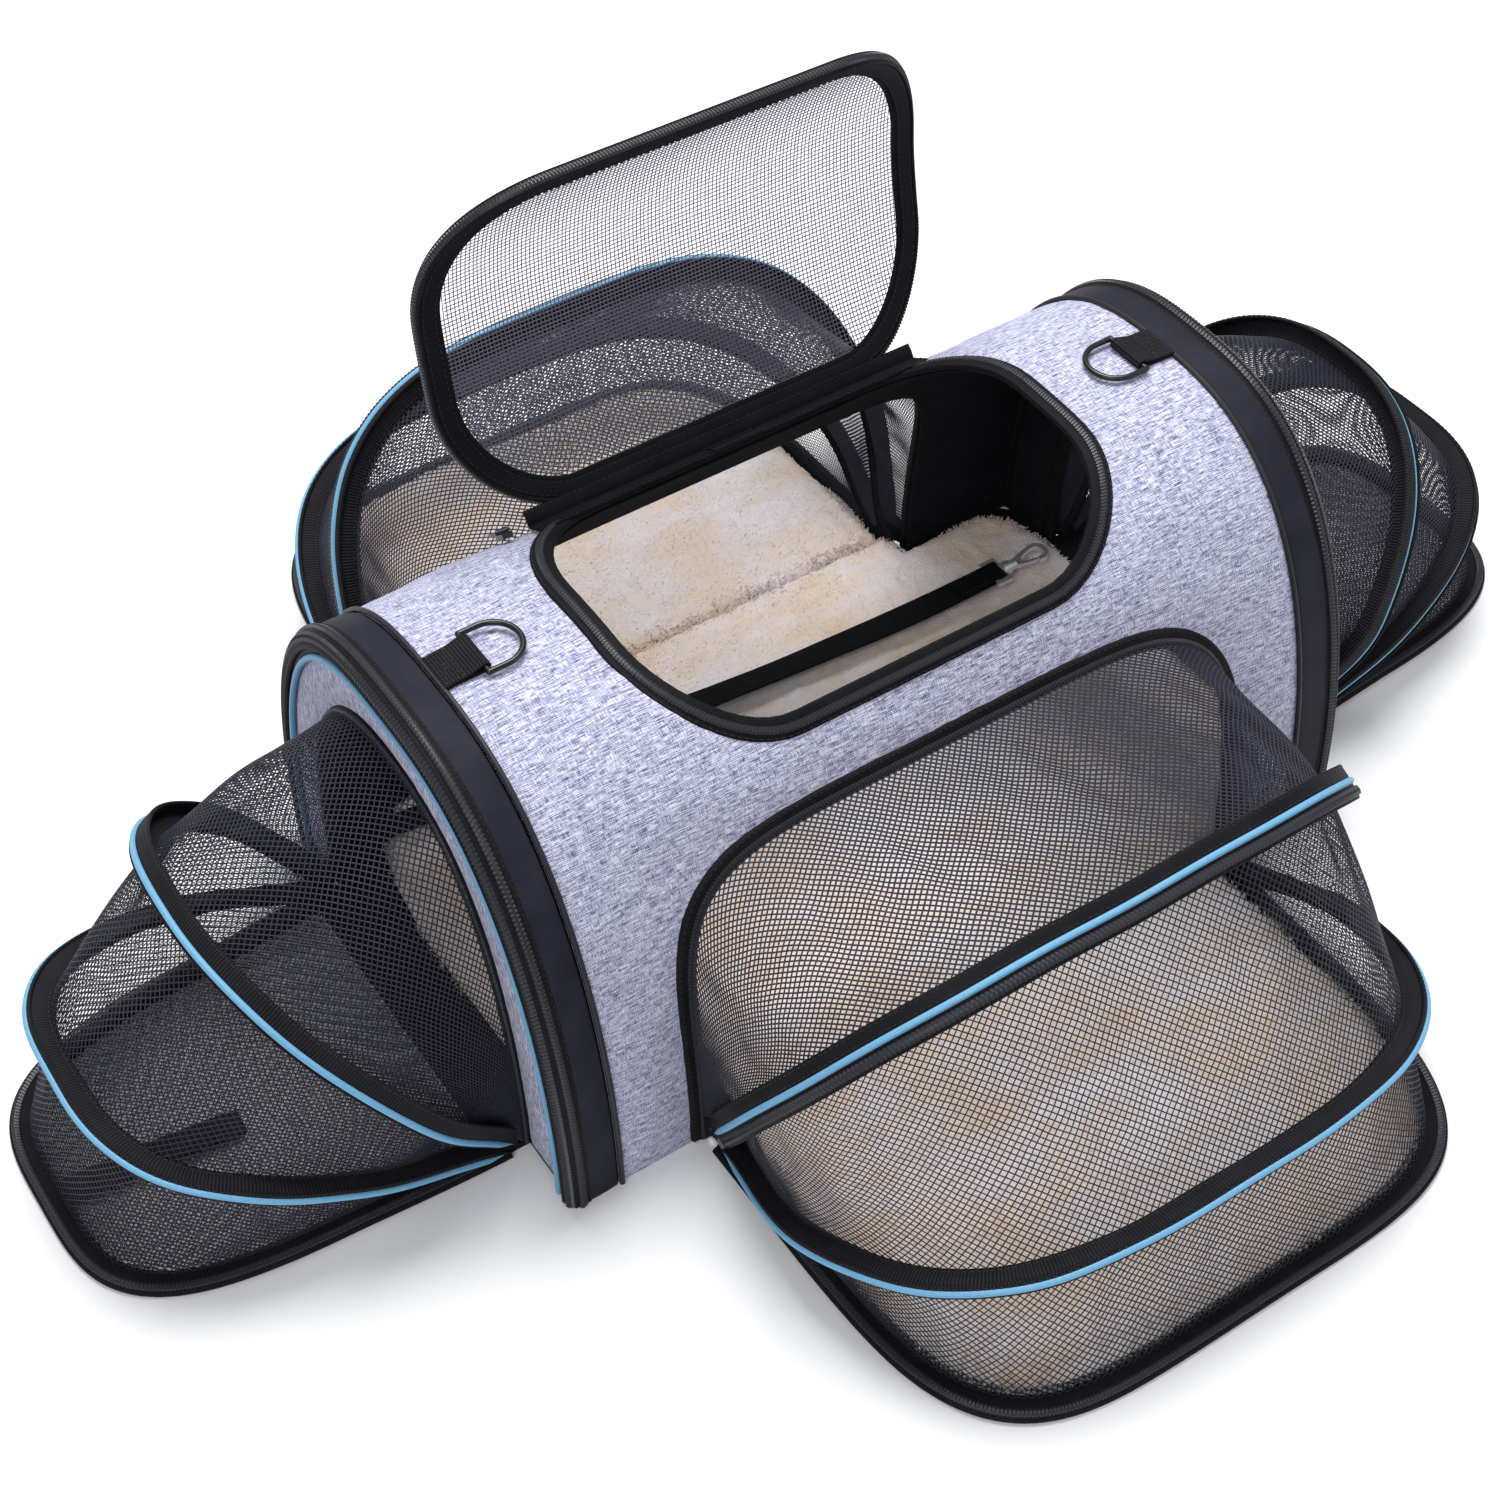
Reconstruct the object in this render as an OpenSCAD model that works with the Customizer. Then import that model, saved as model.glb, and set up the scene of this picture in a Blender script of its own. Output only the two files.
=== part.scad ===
// Soft-sided pet carrier with four fold-out netting rooms and a zipped mesh lid.
// Millimetres, +Z up, X along the long axis of the cabin, origin on the ground
// under the middle of the cabin. Shown with every room and the lid open.

/* [Cabin] */
// Length of the cabin over both end faces
cabin_l = 460; // [440:1:480]
// Width of the cabin arch at the ground
cabin_w = 276; // [268:1:284]
// Height of the cabin arch
cabin_h = 222; // [218:1:228]
// Roundness of the arch sides
arch_n = 2.7; // [2.5:0.1:3]
// Roundness of the arch top
arch_m = 2.2; // [2:0.1:2.4]
// Thickness of the padded fabric shell
shell_t = 3; // [2.5:0.5:3.5]
// Length of the dark band at each end
band_l = 24; // [20:1:28]
// Thickness of the wrapped base board
base_t = 4.2; // [4.2:0.1:4.2]

/* [Openings] */
// Half width of a side opening
side_w = 158; // [154:1:160]
// Height of a side opening
side_h = 157; // [150:1:160]
// Half width of an end opening
end_w = 98; // [94:1:100]
// Height of an end opening
end_h = 190; // [184:1:192]
// Half length of the top opening
top_x = 128; // [124:1:134]
// Front edge of the top opening
top_y0 = -84; // [-88:1:-80]
// Back edge of the top opening
top_y1 = 74; // [72:1:75]
// Corner radius of the top opening
top_r = 58; // [50:1:62]

/* [Fold-out rooms] */
// Depth of the floor panel of a side room
side_floor_d = 208; // [200:1:210]
// Depth of the floor panel of an end room
end_floor_d = 196; // [190:1:198]
// Rest angle of the upper bow of a side room
side_upper_a = 60; // [58:1:62]
// Rest angle of the lower bow of a side room
side_lower_a = 21; // [20:1:22]
// Rest angle of the upper bow of an end room
end_upper_a = 54; // [52:1:56]
// Rest angle of the lower bow of an end room
end_lower_a = 24; // [23:1:25]
// Thickness of a bow with its binding
bow_t = 4.2; // [3.8:0.1:4.2]
// Width of the binding of a bow
bow_w = 10; // [8:0.5:11]
// Width of the binding of a floor panel
floor_b = 12; // [10:0.5:13]
// Thickness of the netting
net_t = 0.8; // [0.8:0.1:1]

/* [Lid] */
// Opening angle of the lid as shown
lid_a = 100; // [90:1:110]
// Width of the lid binding
lid_b = 14; // [12:0.5:15]

/* [Fittings] */
// Wire diameter of a D-ring
ring_d = 3; // [3:0.1:3]
// Width of the strap tabs
tab_w = 22; // [20:1:24]
// Width of the safety tether
tether_w = 15; // [14:0.5:16]

/* [Hidden] */
$fn = 48;

grey = [0.72, 0.73, 0.79];
black = [0.08, 0.08, 0.1];
netc = [0.15, 0.15, 0.19];
sky = [0.5, 0.75, 0.92];
cream = [0.93, 0.85, 0.75];
steel = [0.8, 0.8, 0.82];

aw = cabin_w / 2;
xe = cabin_l / 2;
xb = xe - band_l;            // boundary between the shell and the end band
axz = bow_t + 2.4;           // height of every hinge line above the ground
gap_n = 4.5;                 // spacing of the leaves when a room is folded shut
side_ax = aw + 10.5;         // hinge line of a side room
end_ax = xe + 10.3;          // hinge line of an end room
// bow outlines: root half width, widest half width, depth, roundness
side_bow = [158, 171, 197, 3.3];
end_upper = [98, 116, 180, 2.4];
end_lower = [98, 104, 187, 2.9];
side_floor = [160, 160, side_floor_d, 5];
end_floor = [98, 94, end_floor_d, 3.8];
lid_ax = [top_y1 + 5, zs(top_y1 + 5, 0) + 3.8];

// half width of the arch at height z, grown by o
function ys(z, o) = (aw + o) * pow(1 - pow(min(z, cabin_h + o - 0.01) / (cabin_h + o), arch_m), 1 / arch_n);
// height of the arch at distance y from the middle, grown by o
function zs(y, o) = (cabin_h + o) * pow(1 - pow(min(abs(y), aw + o - 0.01) / (aw + o), arch_n), 1 / arch_m);
// point k (0..1) of the arch profile, grown by o
function arch_pt(k, o) = let (t = 180 * k, c = cos(t), s = sin(t))
  [-(aw + o) * sign(c) * pow(abs(c), 2 / arch_n), (cabin_h + o) * pow(max(s, 0), 2 / arch_m)];
function arch_line(o, n = 72) = [for (i = [0:n]) arch_pt(i / n, o)];
// U outline: distance from the root grows with polar angle p (0..180)
function u_pt(b, p, g = 0) = let (w = b[1] + g, d = b[2] + g, e = b[3],
  r = 1 / pow(pow(abs(cos(p)) / w, e) + pow(max(sin(p), 0) / d, e), 1 / e),
  dd = r * sin(p), k = min(1, dd / (0.45 * d)), s = k * k * (3 - 2 * k))
  [-r * cos(p) * ((b[0] + g) + (w - b[0] - g) * s) / w, dd];
function u_line(b, g = 0, n = 48) = [for (i = [0:n]) u_pt(b, 180 * i / n, g)];

// ---- cabin ----
module arch_slab(x0, x1, o, i, foot = 0) {
  intersection() {
    translate([x0, 0, 0]) rotate([90, 0, 90]) linear_extrude(x1 - x0)
      difference() { polygon(arch_line(o)); polygon(concat([[-(aw + i), -1]], arch_line(i), [[aw + i, -1]])); }
    translate([x0 - 1, -300, foot]) cube([x1 - x0 + 2, 600, 400]);
  }
}
module arch_disc(x0, x1, o) {
  translate([x0, 0, 0]) rotate([90, 0, 90]) linear_extrude(x1 - x0) polygon(arch_line(o));
}
function side_open(g) = [side_w + g, side_w + g, side_h + g, 6];
function end_open(g) = [end_w + g, end_w + g, end_h + g, 2.5];
module side_cut(s, g) {
  pts = u_line(side_open(g));
  translate([0, s > 0 ? 400 : 0, 0]) rotate([90, 0, 0]) linear_extrude(400)
    polygon(concat([[-side_w - g, -5]], pts, [[side_w + g, -5]]));
}
module end_cut(x0, x1, g) {
  translate([x0, 0, 0]) rotate([90, 0, 90]) linear_extrude(x1 - x0)
    polygon(concat([[-end_w - g, -5]], u_line(end_open(g)), [[end_w + g, -5]]));
}
module round_rect(x0, x1, y0, y1, r) {
  x = (x1 - x0) / 2; y = (y1 - y0) / 2;
  translate([(x0 + x1) / 2, (y0 + y1) / 2]) {
    square([2 * x - 2 * r, 2 * y], center = true);
    square([2 * x, 2 * y - 2 * r], center = true);
    for (i = [-1, 1], j = [-1, 1]) translate([i * (x - r), j * (y - r)]) circle(r);
  }
}
module top_cut(g) {
  translate([0, 0, 60]) linear_extrude(300)
    round_rect(-top_x - g, top_x + g, top_y0 - g, top_y1 + g, top_r + g);
}

module base_panel() { color(black) {
  linear_extrude(base_t) round_rect(-xe + 1, xe - 1, -aw + shell_t + 1.2, aw - shell_t - 1.2, 12);
  translate([-side_w + 3, -side_ax + 0.4, 0]) cube([2 * side_w - 6, 2 * side_ax - 0.8, base_t]);
  translate([-end_ax + 0.4, -end_w + 3, 0]) cube([2 * end_ax - 0.8, 2 * end_w - 6, base_t]);
} }
module shell() { color(grey) difference() {
  arch_slab(-xb, xb, 0, -shell_t);
  side_cut(-1, 0); side_cut(1, 0); top_cut(0);
} }
module lining() { color(black) difference() {
  arch_slab(-xe + 4, xe - 4, -shell_t - 0.2, -shell_t - 1, base_t + 0.2);
  side_cut(-1, 0); side_cut(1, 0); top_cut(0);
} }
module band(s) { color(black)
  if (s > 0) arch_slab(xb + 0.2, xe, 0.8, -shell_t); else arch_slab(-xe, -xb - 0.2, 0.8, -shell_t); }
module seam_pipings() { color(black) for (s = [-1, 1]) translate([s * (xb - 1.4), 0, 0]) arch_slab(-1.4, 1.4, 2, 0.1, 1); }
module end_zippers() { color(black) {
  arch_slab(xe - 0.1 + 0.1, xe + 2, 0, -10, 1);
  arch_slab(-xe - 2, -xe, 0, -10, 1);
} }
module end_pipings() { color(sky) {
  arch_slab(xe, xe + 3.2, -10.2, -13.6, 1);
  arch_slab(-xe - 3.2, -xe, -10.2, -13.6, 1);
} }
module end_panel(s) { color(grey) difference() {
  translate([s > 0 ? xe - 3 : -xe + 0.2, 0, 0]) arch_disc(0, 2.8, -shell_t - 1.2);
  end_cut(s > 0 ? xe - 5 : -xe - 5, s > 0 ? xe + 5 : -xe + 5, 0);
  translate([-300, -200, -20]) cube([600, 400, 20 + base_t + 0.1]);
} }
module end_bindings() { color(black) for (s = [-1, 1]) difference() {
  end_cut(s > 0 ? xe - 4 : -xe - 2.4, s > 0 ? xe + 2.4 : -xe + 4, -0.05);
  end_cut(s > 0 ? xe - 6 : -xe - 6, s > 0 ? xe + 6 : -xe + 6, -8);
  translate([-400, -300, -20]) cube([800, 600, 20 + base_t + 0.2]);
} }
module side_binding(s) { color(black) intersection() {
  arch_slab(-xb + 4, xb - 4, 2.9, 0.1, 1);
  difference() { side_cut(s, 8); side_cut(s, -2); }
} }
module top_binding() { color(black) intersection() {
  arch_slab(-xb + 4, xb - 4, 2, 0.1, 60);
  difference() { top_cut(8); top_cut(-2); }
} }
// flat webbing tab with a round loop at its end that holds the D-ring bar
loop_x = 184;
loop_z = cabin_h + 3.4;
module tab(s) { color(black) difference() {
  union() {
    translate([s > 0 ? loop_x : -xb + 3.2, -tab_w / 2, cabin_h + 0.5]) cube([xb - 3.2 - loop_x, tab_w, 1.6]);
    translate([s * loop_x, -tab_w / 2, loop_z]) rotate([-90, 0, 0]) cylinder(r = ring_d / 2 + 1.4, h = tab_w);
  }
  translate([s * loop_x, -tab_w / 2 - 1, loop_z]) rotate([-90, 0, 0]) cylinder(r = ring_d / 2 + 0.06, h = tab_w + 2);
} }
// D-ring: straight bar along Y through the loop, half round bow beside it
module d_ring(s) { color(black) translate([s * loop_x, 0, loop_z]) rotate([0, 0, s > 0 ? 180 : 0]) {
  translate([0, -14, 0]) rotate([-90, 0, 0]) cylinder(d = ring_d, h = 28);
  for (j = [-1, 1]) translate([0, j * 14, 0]) {
    sphere(d = ring_d);
    rotate([0, 90, 0]) cylinder(d = ring_d, h = 9);
  }
  translate([9, 0, 0]) rotate([0, 0, -90]) rotate_extrude(angle = 180) translate([14, 0]) circle(d = ring_d);
} }
module body_fleece() { color(cream) translate([0, 0, base_t + 0.2]) linear_extrude(9.6) {
  round_rect(-xe + 8, xe - 8, -aw + 7, aw - 7, 20);
  square([2 * side_w - 24, 2 * aw + 4], center = true);
} }

// ---- lid, drawn closed and turned open about its hinge line ----
module lid_ring(o, i, g0, g1) {
  intersection() {
    arch_slab(-170, 170, o, i, 60);
    translate([0, 0, 60]) linear_extrude(300) difference() {
      round_rect(-top_x - 9 - g0, top_x + 9 + g0, top_y0 - 7 - g0, top_y1 + 2.4 + g0, top_r + 4 + g0);
      if (g1 < 0) round_rect(-top_x - 9 - g1, top_x + 9 + g1, top_y0 - 7 - g1, top_y1 + 2.4 + g1, top_r + 4 + g1);
    }
  }
}
module lid_pose() { translate([0, lid_ax[0], lid_ax[1]]) rotate([-lid_a, 0, 0]) translate([0, -lid_ax[0], -lid_ax[1]]) children(); }
module lid_frame() { color(black) lid_pose() lid_ring(6.4, 2.4, 0, -lid_b); }
module lid_mesh() { color(netc) lid_pose() lid_ring(4.8, 3.8, -lid_b, 0); }
module lid_hinge_strip() { color(black) difference() {
  translate([-110, lid_ax[0], lid_ax[1]]) rotate([0, 90, 0]) cylinder(r = 1.4, h = 220);
  arch_disc(-120, 120, 2.1);
} }
// slider parked beside the left end of the lid hinge
sl = [-126, 76];
slz = zs(sl[1], 2) + 2;
sla = 43;
module zipper_slider() { color(black) translate([sl[0], sl[1], slz]) rotate([-sla, 0, 0]) difference() {
  union() {
    translate([-2.7, -5, -0.6]) cube([5.4, 10, 2.8]);
    translate([-2.6, 0, 3]) rotate([0, 90, 0]) cylinder(r = 1.9, h = 5.2);
  }
  translate([-5, 0, 3]) rotate([0, 90, 0]) cylinder(r = 0.76, h = 10);
} }
module zipper_pull() { color(black) translate([sl[0], sl[1], slz]) rotate([-sla, 0, 0]) {
  translate([-3.4, 0, 3]) rotate([0, 90, 0]) cylinder(r = 0.7, h = 6.8);
  for (s = [-1, 1]) translate([s * 3.4 - 0.6, -0.7, 2.3]) cube([1.2, 5.9, 1.4]);
  translate([-4, 4.6, 2.3]) cube([8, 3, 1.4]);
  translate([-2.2, 7, 2.3]) cube([4.4, 9, 1.4]);
} }

// ---- tether: flat strap from the left end wall along the pad to the snap hook ----
route = [[-219, 100, 21], [-205, 100, 21.5], [-190, 99.6, 20.6], [-175, 99, 20], [-160, 98.2, 20],
  [-145, 97.2, 20], [-130, 96.2, 20], [-115, 95.2, 20.2], [-100, 94.2, 20.2], [-85, 93, 20],
  [-70, 91.6, 20], [-55, 90.2, 20], [-40, 88.8, 20.2], [-25, 87.4, 20.2], [-10, 86, 20],
  [5, 84.6, 20], [20, 83.2, 20], [35, 82, 20], [50, 80.8, 20.2], [65, 79.8, 20.4],
  [80, 78.8, 20.4], [95, 77.9, 20.4], [110, 77.1, 20.6], [125, 76.5, 20.8], [140, 76, 21.2],
  [155, 75.7, 21.7], [170, 75.5, 22]];
hook_c = [171, 75.5, 22];
function strap_sec(i) = let (n = len(route) - 1, a = route[max(i - 1, 0)], b = route[min(i + 1, n)],
  d = b - a, l = sqrt(d[0] * d[0] + d[1] * d[1]), sx = -d[1] / l, sy = d[0] / l, w = tether_w / 2, t = 0.9)
  [for (q = [[-w, -t * 0.5], [-w * 0.94, -t], [w * 0.94, -t], [w, -t * 0.5], [w, t * 0.5], [w * 0.94, t], [-w * 0.94, t], [-w, t * 0.5]])
    [route[i][0] + sx * q[0], route[i][1] + sy * q[0], route[i][2] + q[1]]];
// faces of a closed sweep of ns sections of m points
function sweep_faces(ns, m) = concat(
  [[for (j = [0:m - 1]) j]],
  [for (i = [0:ns - 2], j = [0:m - 1]) [i * m + j, (i + 1) * m + j, (i + 1) * m + (j + 1) % m]],
  [for (i = [0:ns - 2], j = [0:m - 1]) [i * m + j, (i + 1) * m + (j + 1) % m, i * m + (j + 1) % m]],
  [[for (j = [m - 1:-1:0]) (ns - 1) * m + j]]);
module tether_strap() { color(black)
  polyhedron(points = [for (i = [0:len(route) - 1], p = strap_sec(i)) p], faces = sweep_faces(len(route), 8)); }
module tether_anchor() { color(black) {
  translate([-xe + 4.2, 90, base_t + 10.4]) cube([1.8, 20, 24]);
  translate([-xe + 6, 91.5, 18]) cube([5, 17, 6]);
} }
// wire loop that takes the strap, with the swivel collar beyond it
module hook_eye() { color(steel) translate(hook_c) difference() {
  union() {
    difference() {
      translate([0, -9.5, -1.4]) cube([10, 19, 2.8]);
      translate([2.4, -7, -3]) cube([5, 14, 6]);
    }
    translate([9, 0, 0]) rotate([0, 90, 0]) cylinder(r = 4, h = 5);
  }
  translate([7, 0, 0]) rotate([0, 90, 0]) cylinder(r = 1.6, h = 10);
} }
// snap hook body: swivel pin, shank and open eye
module hook() { color(steel) translate(hook_c) {
  translate([5.2, 0, 0]) rotate([0, 90, 0]) cylinder(r = 1.54, h = 12);
  translate([14.3, 0, 0]) rotate([0, 90, 0]) cylinder(r = 3, h = 4);
  translate([0, 0, -1.5]) linear_extrude(3) difference() {
    hull() { translate([21, 0]) circle(3.6); translate([34, 0]) circle(6.6); }
    hull() { translate([25.4, -0.4]) circle(2.3); translate([33.6, 0]) circle(4.1); }
    translate([22.5, -8]) square([9, 8.2]);
  }
} }
// sprung gate that closes the eye
module hook_gate() { color(steel) translate(hook_c) translate([0, 0, -1.1]) linear_extrude(2.2)
  hull() { translate([23.6, -3.1]) circle(0.9); translate([30.4, -4.4]) circle(0.75); } }

// ---- fold-out rooms, drawn for the back side and turned to the other three ----
// axis distance, leaf angle and leaf offset place a flat leaf on the hinge line
module leaf(ax, a, off) translate([0, ax, axz]) rotate([a, 0, 0]) translate([0, 0, off]) children();
module turn(q) rotate([0, 0, q]) children();
module bow(ax, b, a, off) leaf(ax, a, off) translate([0, 0, -bow_t / 2]) linear_extrude(bow_t)
  difference() {
    polygon(u_line(b));
    polygon(concat([[-b[0] + bow_w, -1]], u_line(b, -bow_w), [[b[0] - bow_w, -1]]));
  }
module floor_frame(ax, b) leaf(ax, 0, -gap_n) translate([0, 0, -bow_t / 2]) linear_extrude(bow_t)
  difference() {
    polygon(u_line(b));
    intersection() {
      polygon(u_line(b, -floor_b));
      translate([-200, floor_b]) square([400, 300]);
    }
  }
module floor_mesh(ax, b) leaf(ax, 0, -gap_n) translate([0, 0, -0.7]) linear_extrude(1.4)
  intersection() {
    polygon(u_line(b, -floor_b - 0.1));
    translate([-200, floor_b + 0.1]) square([400, 300]);
  }
module room_fleece(ax, b) leaf(ax, 0, -gap_n) translate([0, 0, bow_t / 2 + 0.2]) linear_extrude(9.6)
  intersection() {
    polygon(u_line(b, -20));
    translate([-200, 2]) square([400, 300]);
  }
function leaf_pt(ax, b, a, off, p, g) = let (q = u_pt(b, p, g))
  [q[0], ax + q[1] * cos(a) - off * sin(a), axz + q[1] * sin(a) + off * cos(a)];
// outline of a side opening and of an end opening, lifted off the cabin
function side_rim(p) = let (q = u_pt(side_open(2), p)) [q[0], ys(q[1], 5), q[1]];
function end_rim(p) = let (q = u_pt(end_open(-1), p)) [q[0], xe + 3.8, q[1]];
function unit(v) = v / norm(v);
net_p = [for (i = [0:36]) 9 + 162 * i / 36];
// parts across the width of a netting
net_m = 5;
// point k of net_m across the ruled sheet at station i, and its inward normal there
function net_at(l, i, k) = l[i][0] + (l[i][1] - l[i][0]) * k / net_m;
function net_in(l, i, k) =
  -unit(cross(net_at(l, min(i + 1, len(l) - 1), k) - net_at(l, max(i - 1, 0), k), l[i][1] - l[i][0]));
// ruled sheet of netting between two outlines, net_t thick
module net(l) let (c = 2 * (net_m + 1), e = (len(l) - 1) * c) polyhedron(
  points = [for (i = [0:len(l) - 1])
    each concat([for (k = [0:net_m]) net_at(l, i, k)],
      [for (k = [net_m:-1:0]) net_at(l, i, k) + net_in(l, i, k) * net_t])],
  faces = concat(
    [for (i = [0:len(l) - 2], j = [0:c - 1])
      each [[i * c + j, (i + 1) * c + j, (i + 1) * c + (j + 1) % c],
        [i * c + j, (i + 1) * c + (j + 1) % c, i * c + (j + 1) % c]]],
    [for (k = [0:net_m - 1]) each [[k, k + 1, c - 2 - k], [k, c - 2 - k, c - 1 - k]]],
    [for (k = [0:net_m - 1]) each [[e + k, e + c - 2 - k, e + k + 1], [e + k, e + c - 1 - k, e + c - 2 - k]]]));
net_h = bow_t / 2 + 1;
module net_between(ax, b1, a1, o1, b2, a2, o2)
  net([for (p = net_p) [leaf_pt(ax, b1, a1, o1 - net_h, p, 0), leaf_pt(ax, b2, a2, o2 + net_h, p, 0)]]);
module side_top_net()
  net([for (p = net_p) [side_rim(p), leaf_pt(side_ax, side_bow, side_upper_a, gap_n + net_h, p, 0)]]);
module end_top_net()
  net([for (p = net_p) [end_rim(p), leaf_pt(end_ax, end_upper, end_upper_a, gap_n + net_h, p, 0)]]);
module side_upper_bow() color(black) bow(side_ax, side_bow, side_upper_a, gap_n);
module side_lower_bow() color(black) bow(side_ax, side_bow, side_lower_a, 0);
module side_floor_frame() color(black) floor_frame(side_ax, side_floor);
module side_floor_mesh() color(netc) floor_mesh(side_ax, side_floor);
module side_upper_netting() color(netc) side_top_net();
module side_middle_netting() color(netc) net_between(side_ax, side_bow, side_upper_a, gap_n, side_bow, side_lower_a, 0);
module side_lower_netting() color(netc) net_between(side_ax, side_bow, side_lower_a, 0, side_floor, 0, -gap_n);
module side_fleece() color(cream) room_fleece(side_ax, side_floor);
module end_upper_bow() color(black) bow(end_ax, end_upper, end_upper_a, gap_n);
module end_lower_bow() color(black) bow(end_ax, end_lower, end_lower_a, 0);
module end_floor_frame() color(black) floor_frame(end_ax, end_floor);
module end_floor_mesh() color(netc) floor_mesh(end_ax, end_floor);
module end_upper_netting() color(netc) end_top_net();
module end_middle_netting() color(netc) net_between(end_ax, end_upper, end_upper_a, gap_n, end_lower, end_lower_a, 0);
module end_lower_netting() color(netc) net_between(end_ax, end_lower, end_lower_a, 0, end_floor, 0, -gap_n);

base_panel();
shell();
lining();
band(-1);  // band_left
band(1);  // band_right
seam_pipings();
end_zippers();
end_pipings();
end_panel(-1);  // end_panel_left
end_panel(1);  // end_panel_right
end_bindings();
side_binding(-1);  // front_binding
side_binding(1);  // back_binding
top_binding();
tab(-1);  // tab_left
tab(1);  // tab_right
body_fleece();
lid_hinge_strip();
tether_anchor();
tether_strap();
hook_eye();
zipper_slider();
lid_frame();
lid_mesh();
zipper_pull();
d_ring(-1);  // d_ring_left
d_ring(1);  // d_ring_right
hook();
hook_gate();
turn(180) side_upper_bow();  // front_upper_bow
turn(180) side_lower_bow();  // front_lower_bow
turn(180) side_floor_frame();  // front_floor_frame
turn(180) side_floor_mesh();  // front_floor_mesh
turn(180) side_upper_netting();  // front_upper_netting
turn(180) side_middle_netting();  // front_middle_netting
turn(180) side_lower_netting();  // front_lower_netting
turn(180) side_fleece();  // front_fleece
side_upper_bow();  // back_upper_bow
side_lower_bow();  // back_lower_bow
side_floor_frame();  // back_floor_frame
side_floor_mesh();  // back_floor_mesh
side_upper_netting();  // back_upper_netting
side_middle_netting();  // back_middle_netting
side_lower_netting();  // back_lower_netting
side_fleece();  // back_fleece
turn(90) end_upper_bow();  // left_upper_bow
turn(90) end_lower_bow();  // left_lower_bow
turn(90) end_floor_frame();  // left_floor_frame
turn(90) end_floor_mesh();  // left_floor_mesh
turn(90) end_upper_netting();  // left_upper_netting
turn(90) end_middle_netting();  // left_middle_netting
turn(90) end_lower_netting();  // left_lower_netting
turn(-90) end_upper_bow();  // right_upper_bow
turn(-90) end_lower_bow();  // right_lower_bow
turn(-90) end_floor_frame();  // right_floor_frame
turn(-90) end_floor_mesh();  // right_floor_mesh
turn(-90) end_upper_netting();  // right_upper_netting
turn(-90) end_middle_netting();  // right_middle_netting
turn(-90) end_lower_netting();  // right_lower_netting
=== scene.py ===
"""Soft-sided pet carrier with four fold-out netting rooms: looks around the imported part."""
import math
import bpy
import numpy as np
from mathutils import Vector, Matrix
from mathutils.geometry import delaunay_2d_cdt


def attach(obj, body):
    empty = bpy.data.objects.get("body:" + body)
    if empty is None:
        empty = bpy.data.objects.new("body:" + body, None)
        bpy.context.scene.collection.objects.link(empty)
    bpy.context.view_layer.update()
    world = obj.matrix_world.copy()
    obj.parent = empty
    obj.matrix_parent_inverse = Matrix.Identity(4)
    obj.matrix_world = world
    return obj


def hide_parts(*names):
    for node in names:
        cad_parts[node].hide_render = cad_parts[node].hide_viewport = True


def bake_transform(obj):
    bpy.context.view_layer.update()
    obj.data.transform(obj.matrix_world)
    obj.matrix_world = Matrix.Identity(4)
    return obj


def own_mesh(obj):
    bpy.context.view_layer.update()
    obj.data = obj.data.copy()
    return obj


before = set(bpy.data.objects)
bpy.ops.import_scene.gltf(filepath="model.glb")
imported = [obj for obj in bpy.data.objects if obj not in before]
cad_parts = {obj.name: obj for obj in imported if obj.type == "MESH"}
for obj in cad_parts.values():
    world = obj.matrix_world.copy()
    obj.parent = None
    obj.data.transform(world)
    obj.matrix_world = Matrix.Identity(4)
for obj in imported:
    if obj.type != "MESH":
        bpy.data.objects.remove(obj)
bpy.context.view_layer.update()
MM = 0.001
pi = math.pi
rad = math.radians

# ------------------------------------------------------------------ camera
AZ, EL, ROLL = rad(-33.2), rad(47.5), rad(-0.59)
back = Vector((math.sin(AZ) * math.cos(EL), -math.cos(AZ) * math.cos(EL), math.sin(EL)))
cam_data = bpy.data.cameras.new("camera")
cam = bpy.data.objects.new("camera", cam_data)
bpy.context.scene.collection.objects.link(cam)
cam_data.sensor_width = 36
cam_data.lens = 2607.2 / 1500 * 36
cam_data.clip_start, cam_data.clip_end = 0.05, 30
target = Vector((-0.0527, -0.0196, 0.1))
cam.location = target + back * 1.2713
q = (-back).to_track_quat("-Z", "Y")
cam.rotation_mode = "QUATERNION"
cam.rotation_quaternion = q @ Matrix.Rotation(ROLL, 4, "Z").to_quaternion()
bpy.context.scene.camera = cam

# ------------------------------------------------------------------ dimensions (mm)
L, W, H, AN, AM = 460.0, 276.0, 222.0, 2.7, 2.2
AW, XE = W / 2, L / 2
XB = XE - 24
BASE = 4.2
SW, SH, EW, EH = 158.0, 157.0, 98.0, 190.0
TX, TY0, TY1, TR = 128.0, -84.0, 74.0, 58.0
BOW_T = 4.2
AXZ = BOW_T + 2.4
GAP = 4.5
SIDE_AX, END_AX = AW + 10.5, XE + 10.3
SIDE_BOW = (158.0, 171.0, 197.0, 3.3)
END_UP = (98.0, 116.0, 180.0, 2.4)
END_LO = (98.0, 104.0, 187.0, 2.9)
SIDE_FL = (160.0, 160.0, 208.0, 5.0)
END_FL = (98.0, 94.0, 196.0, 3.8)
A_SU, A_SL, A_EU, A_EL = 60.0, 21.0, 54.0, 24.0
LID_A = 100.0
LOOP_X, LOOP_Z = 184.0, H + 3.4
rng = np.random.default_rng(7)


def ys(z, o=0.0):
    return (AW + o) * (1 - (np.minimum(z, H + o - 0.01) / (H + o)) ** AM) ** (1 / AN)


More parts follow.
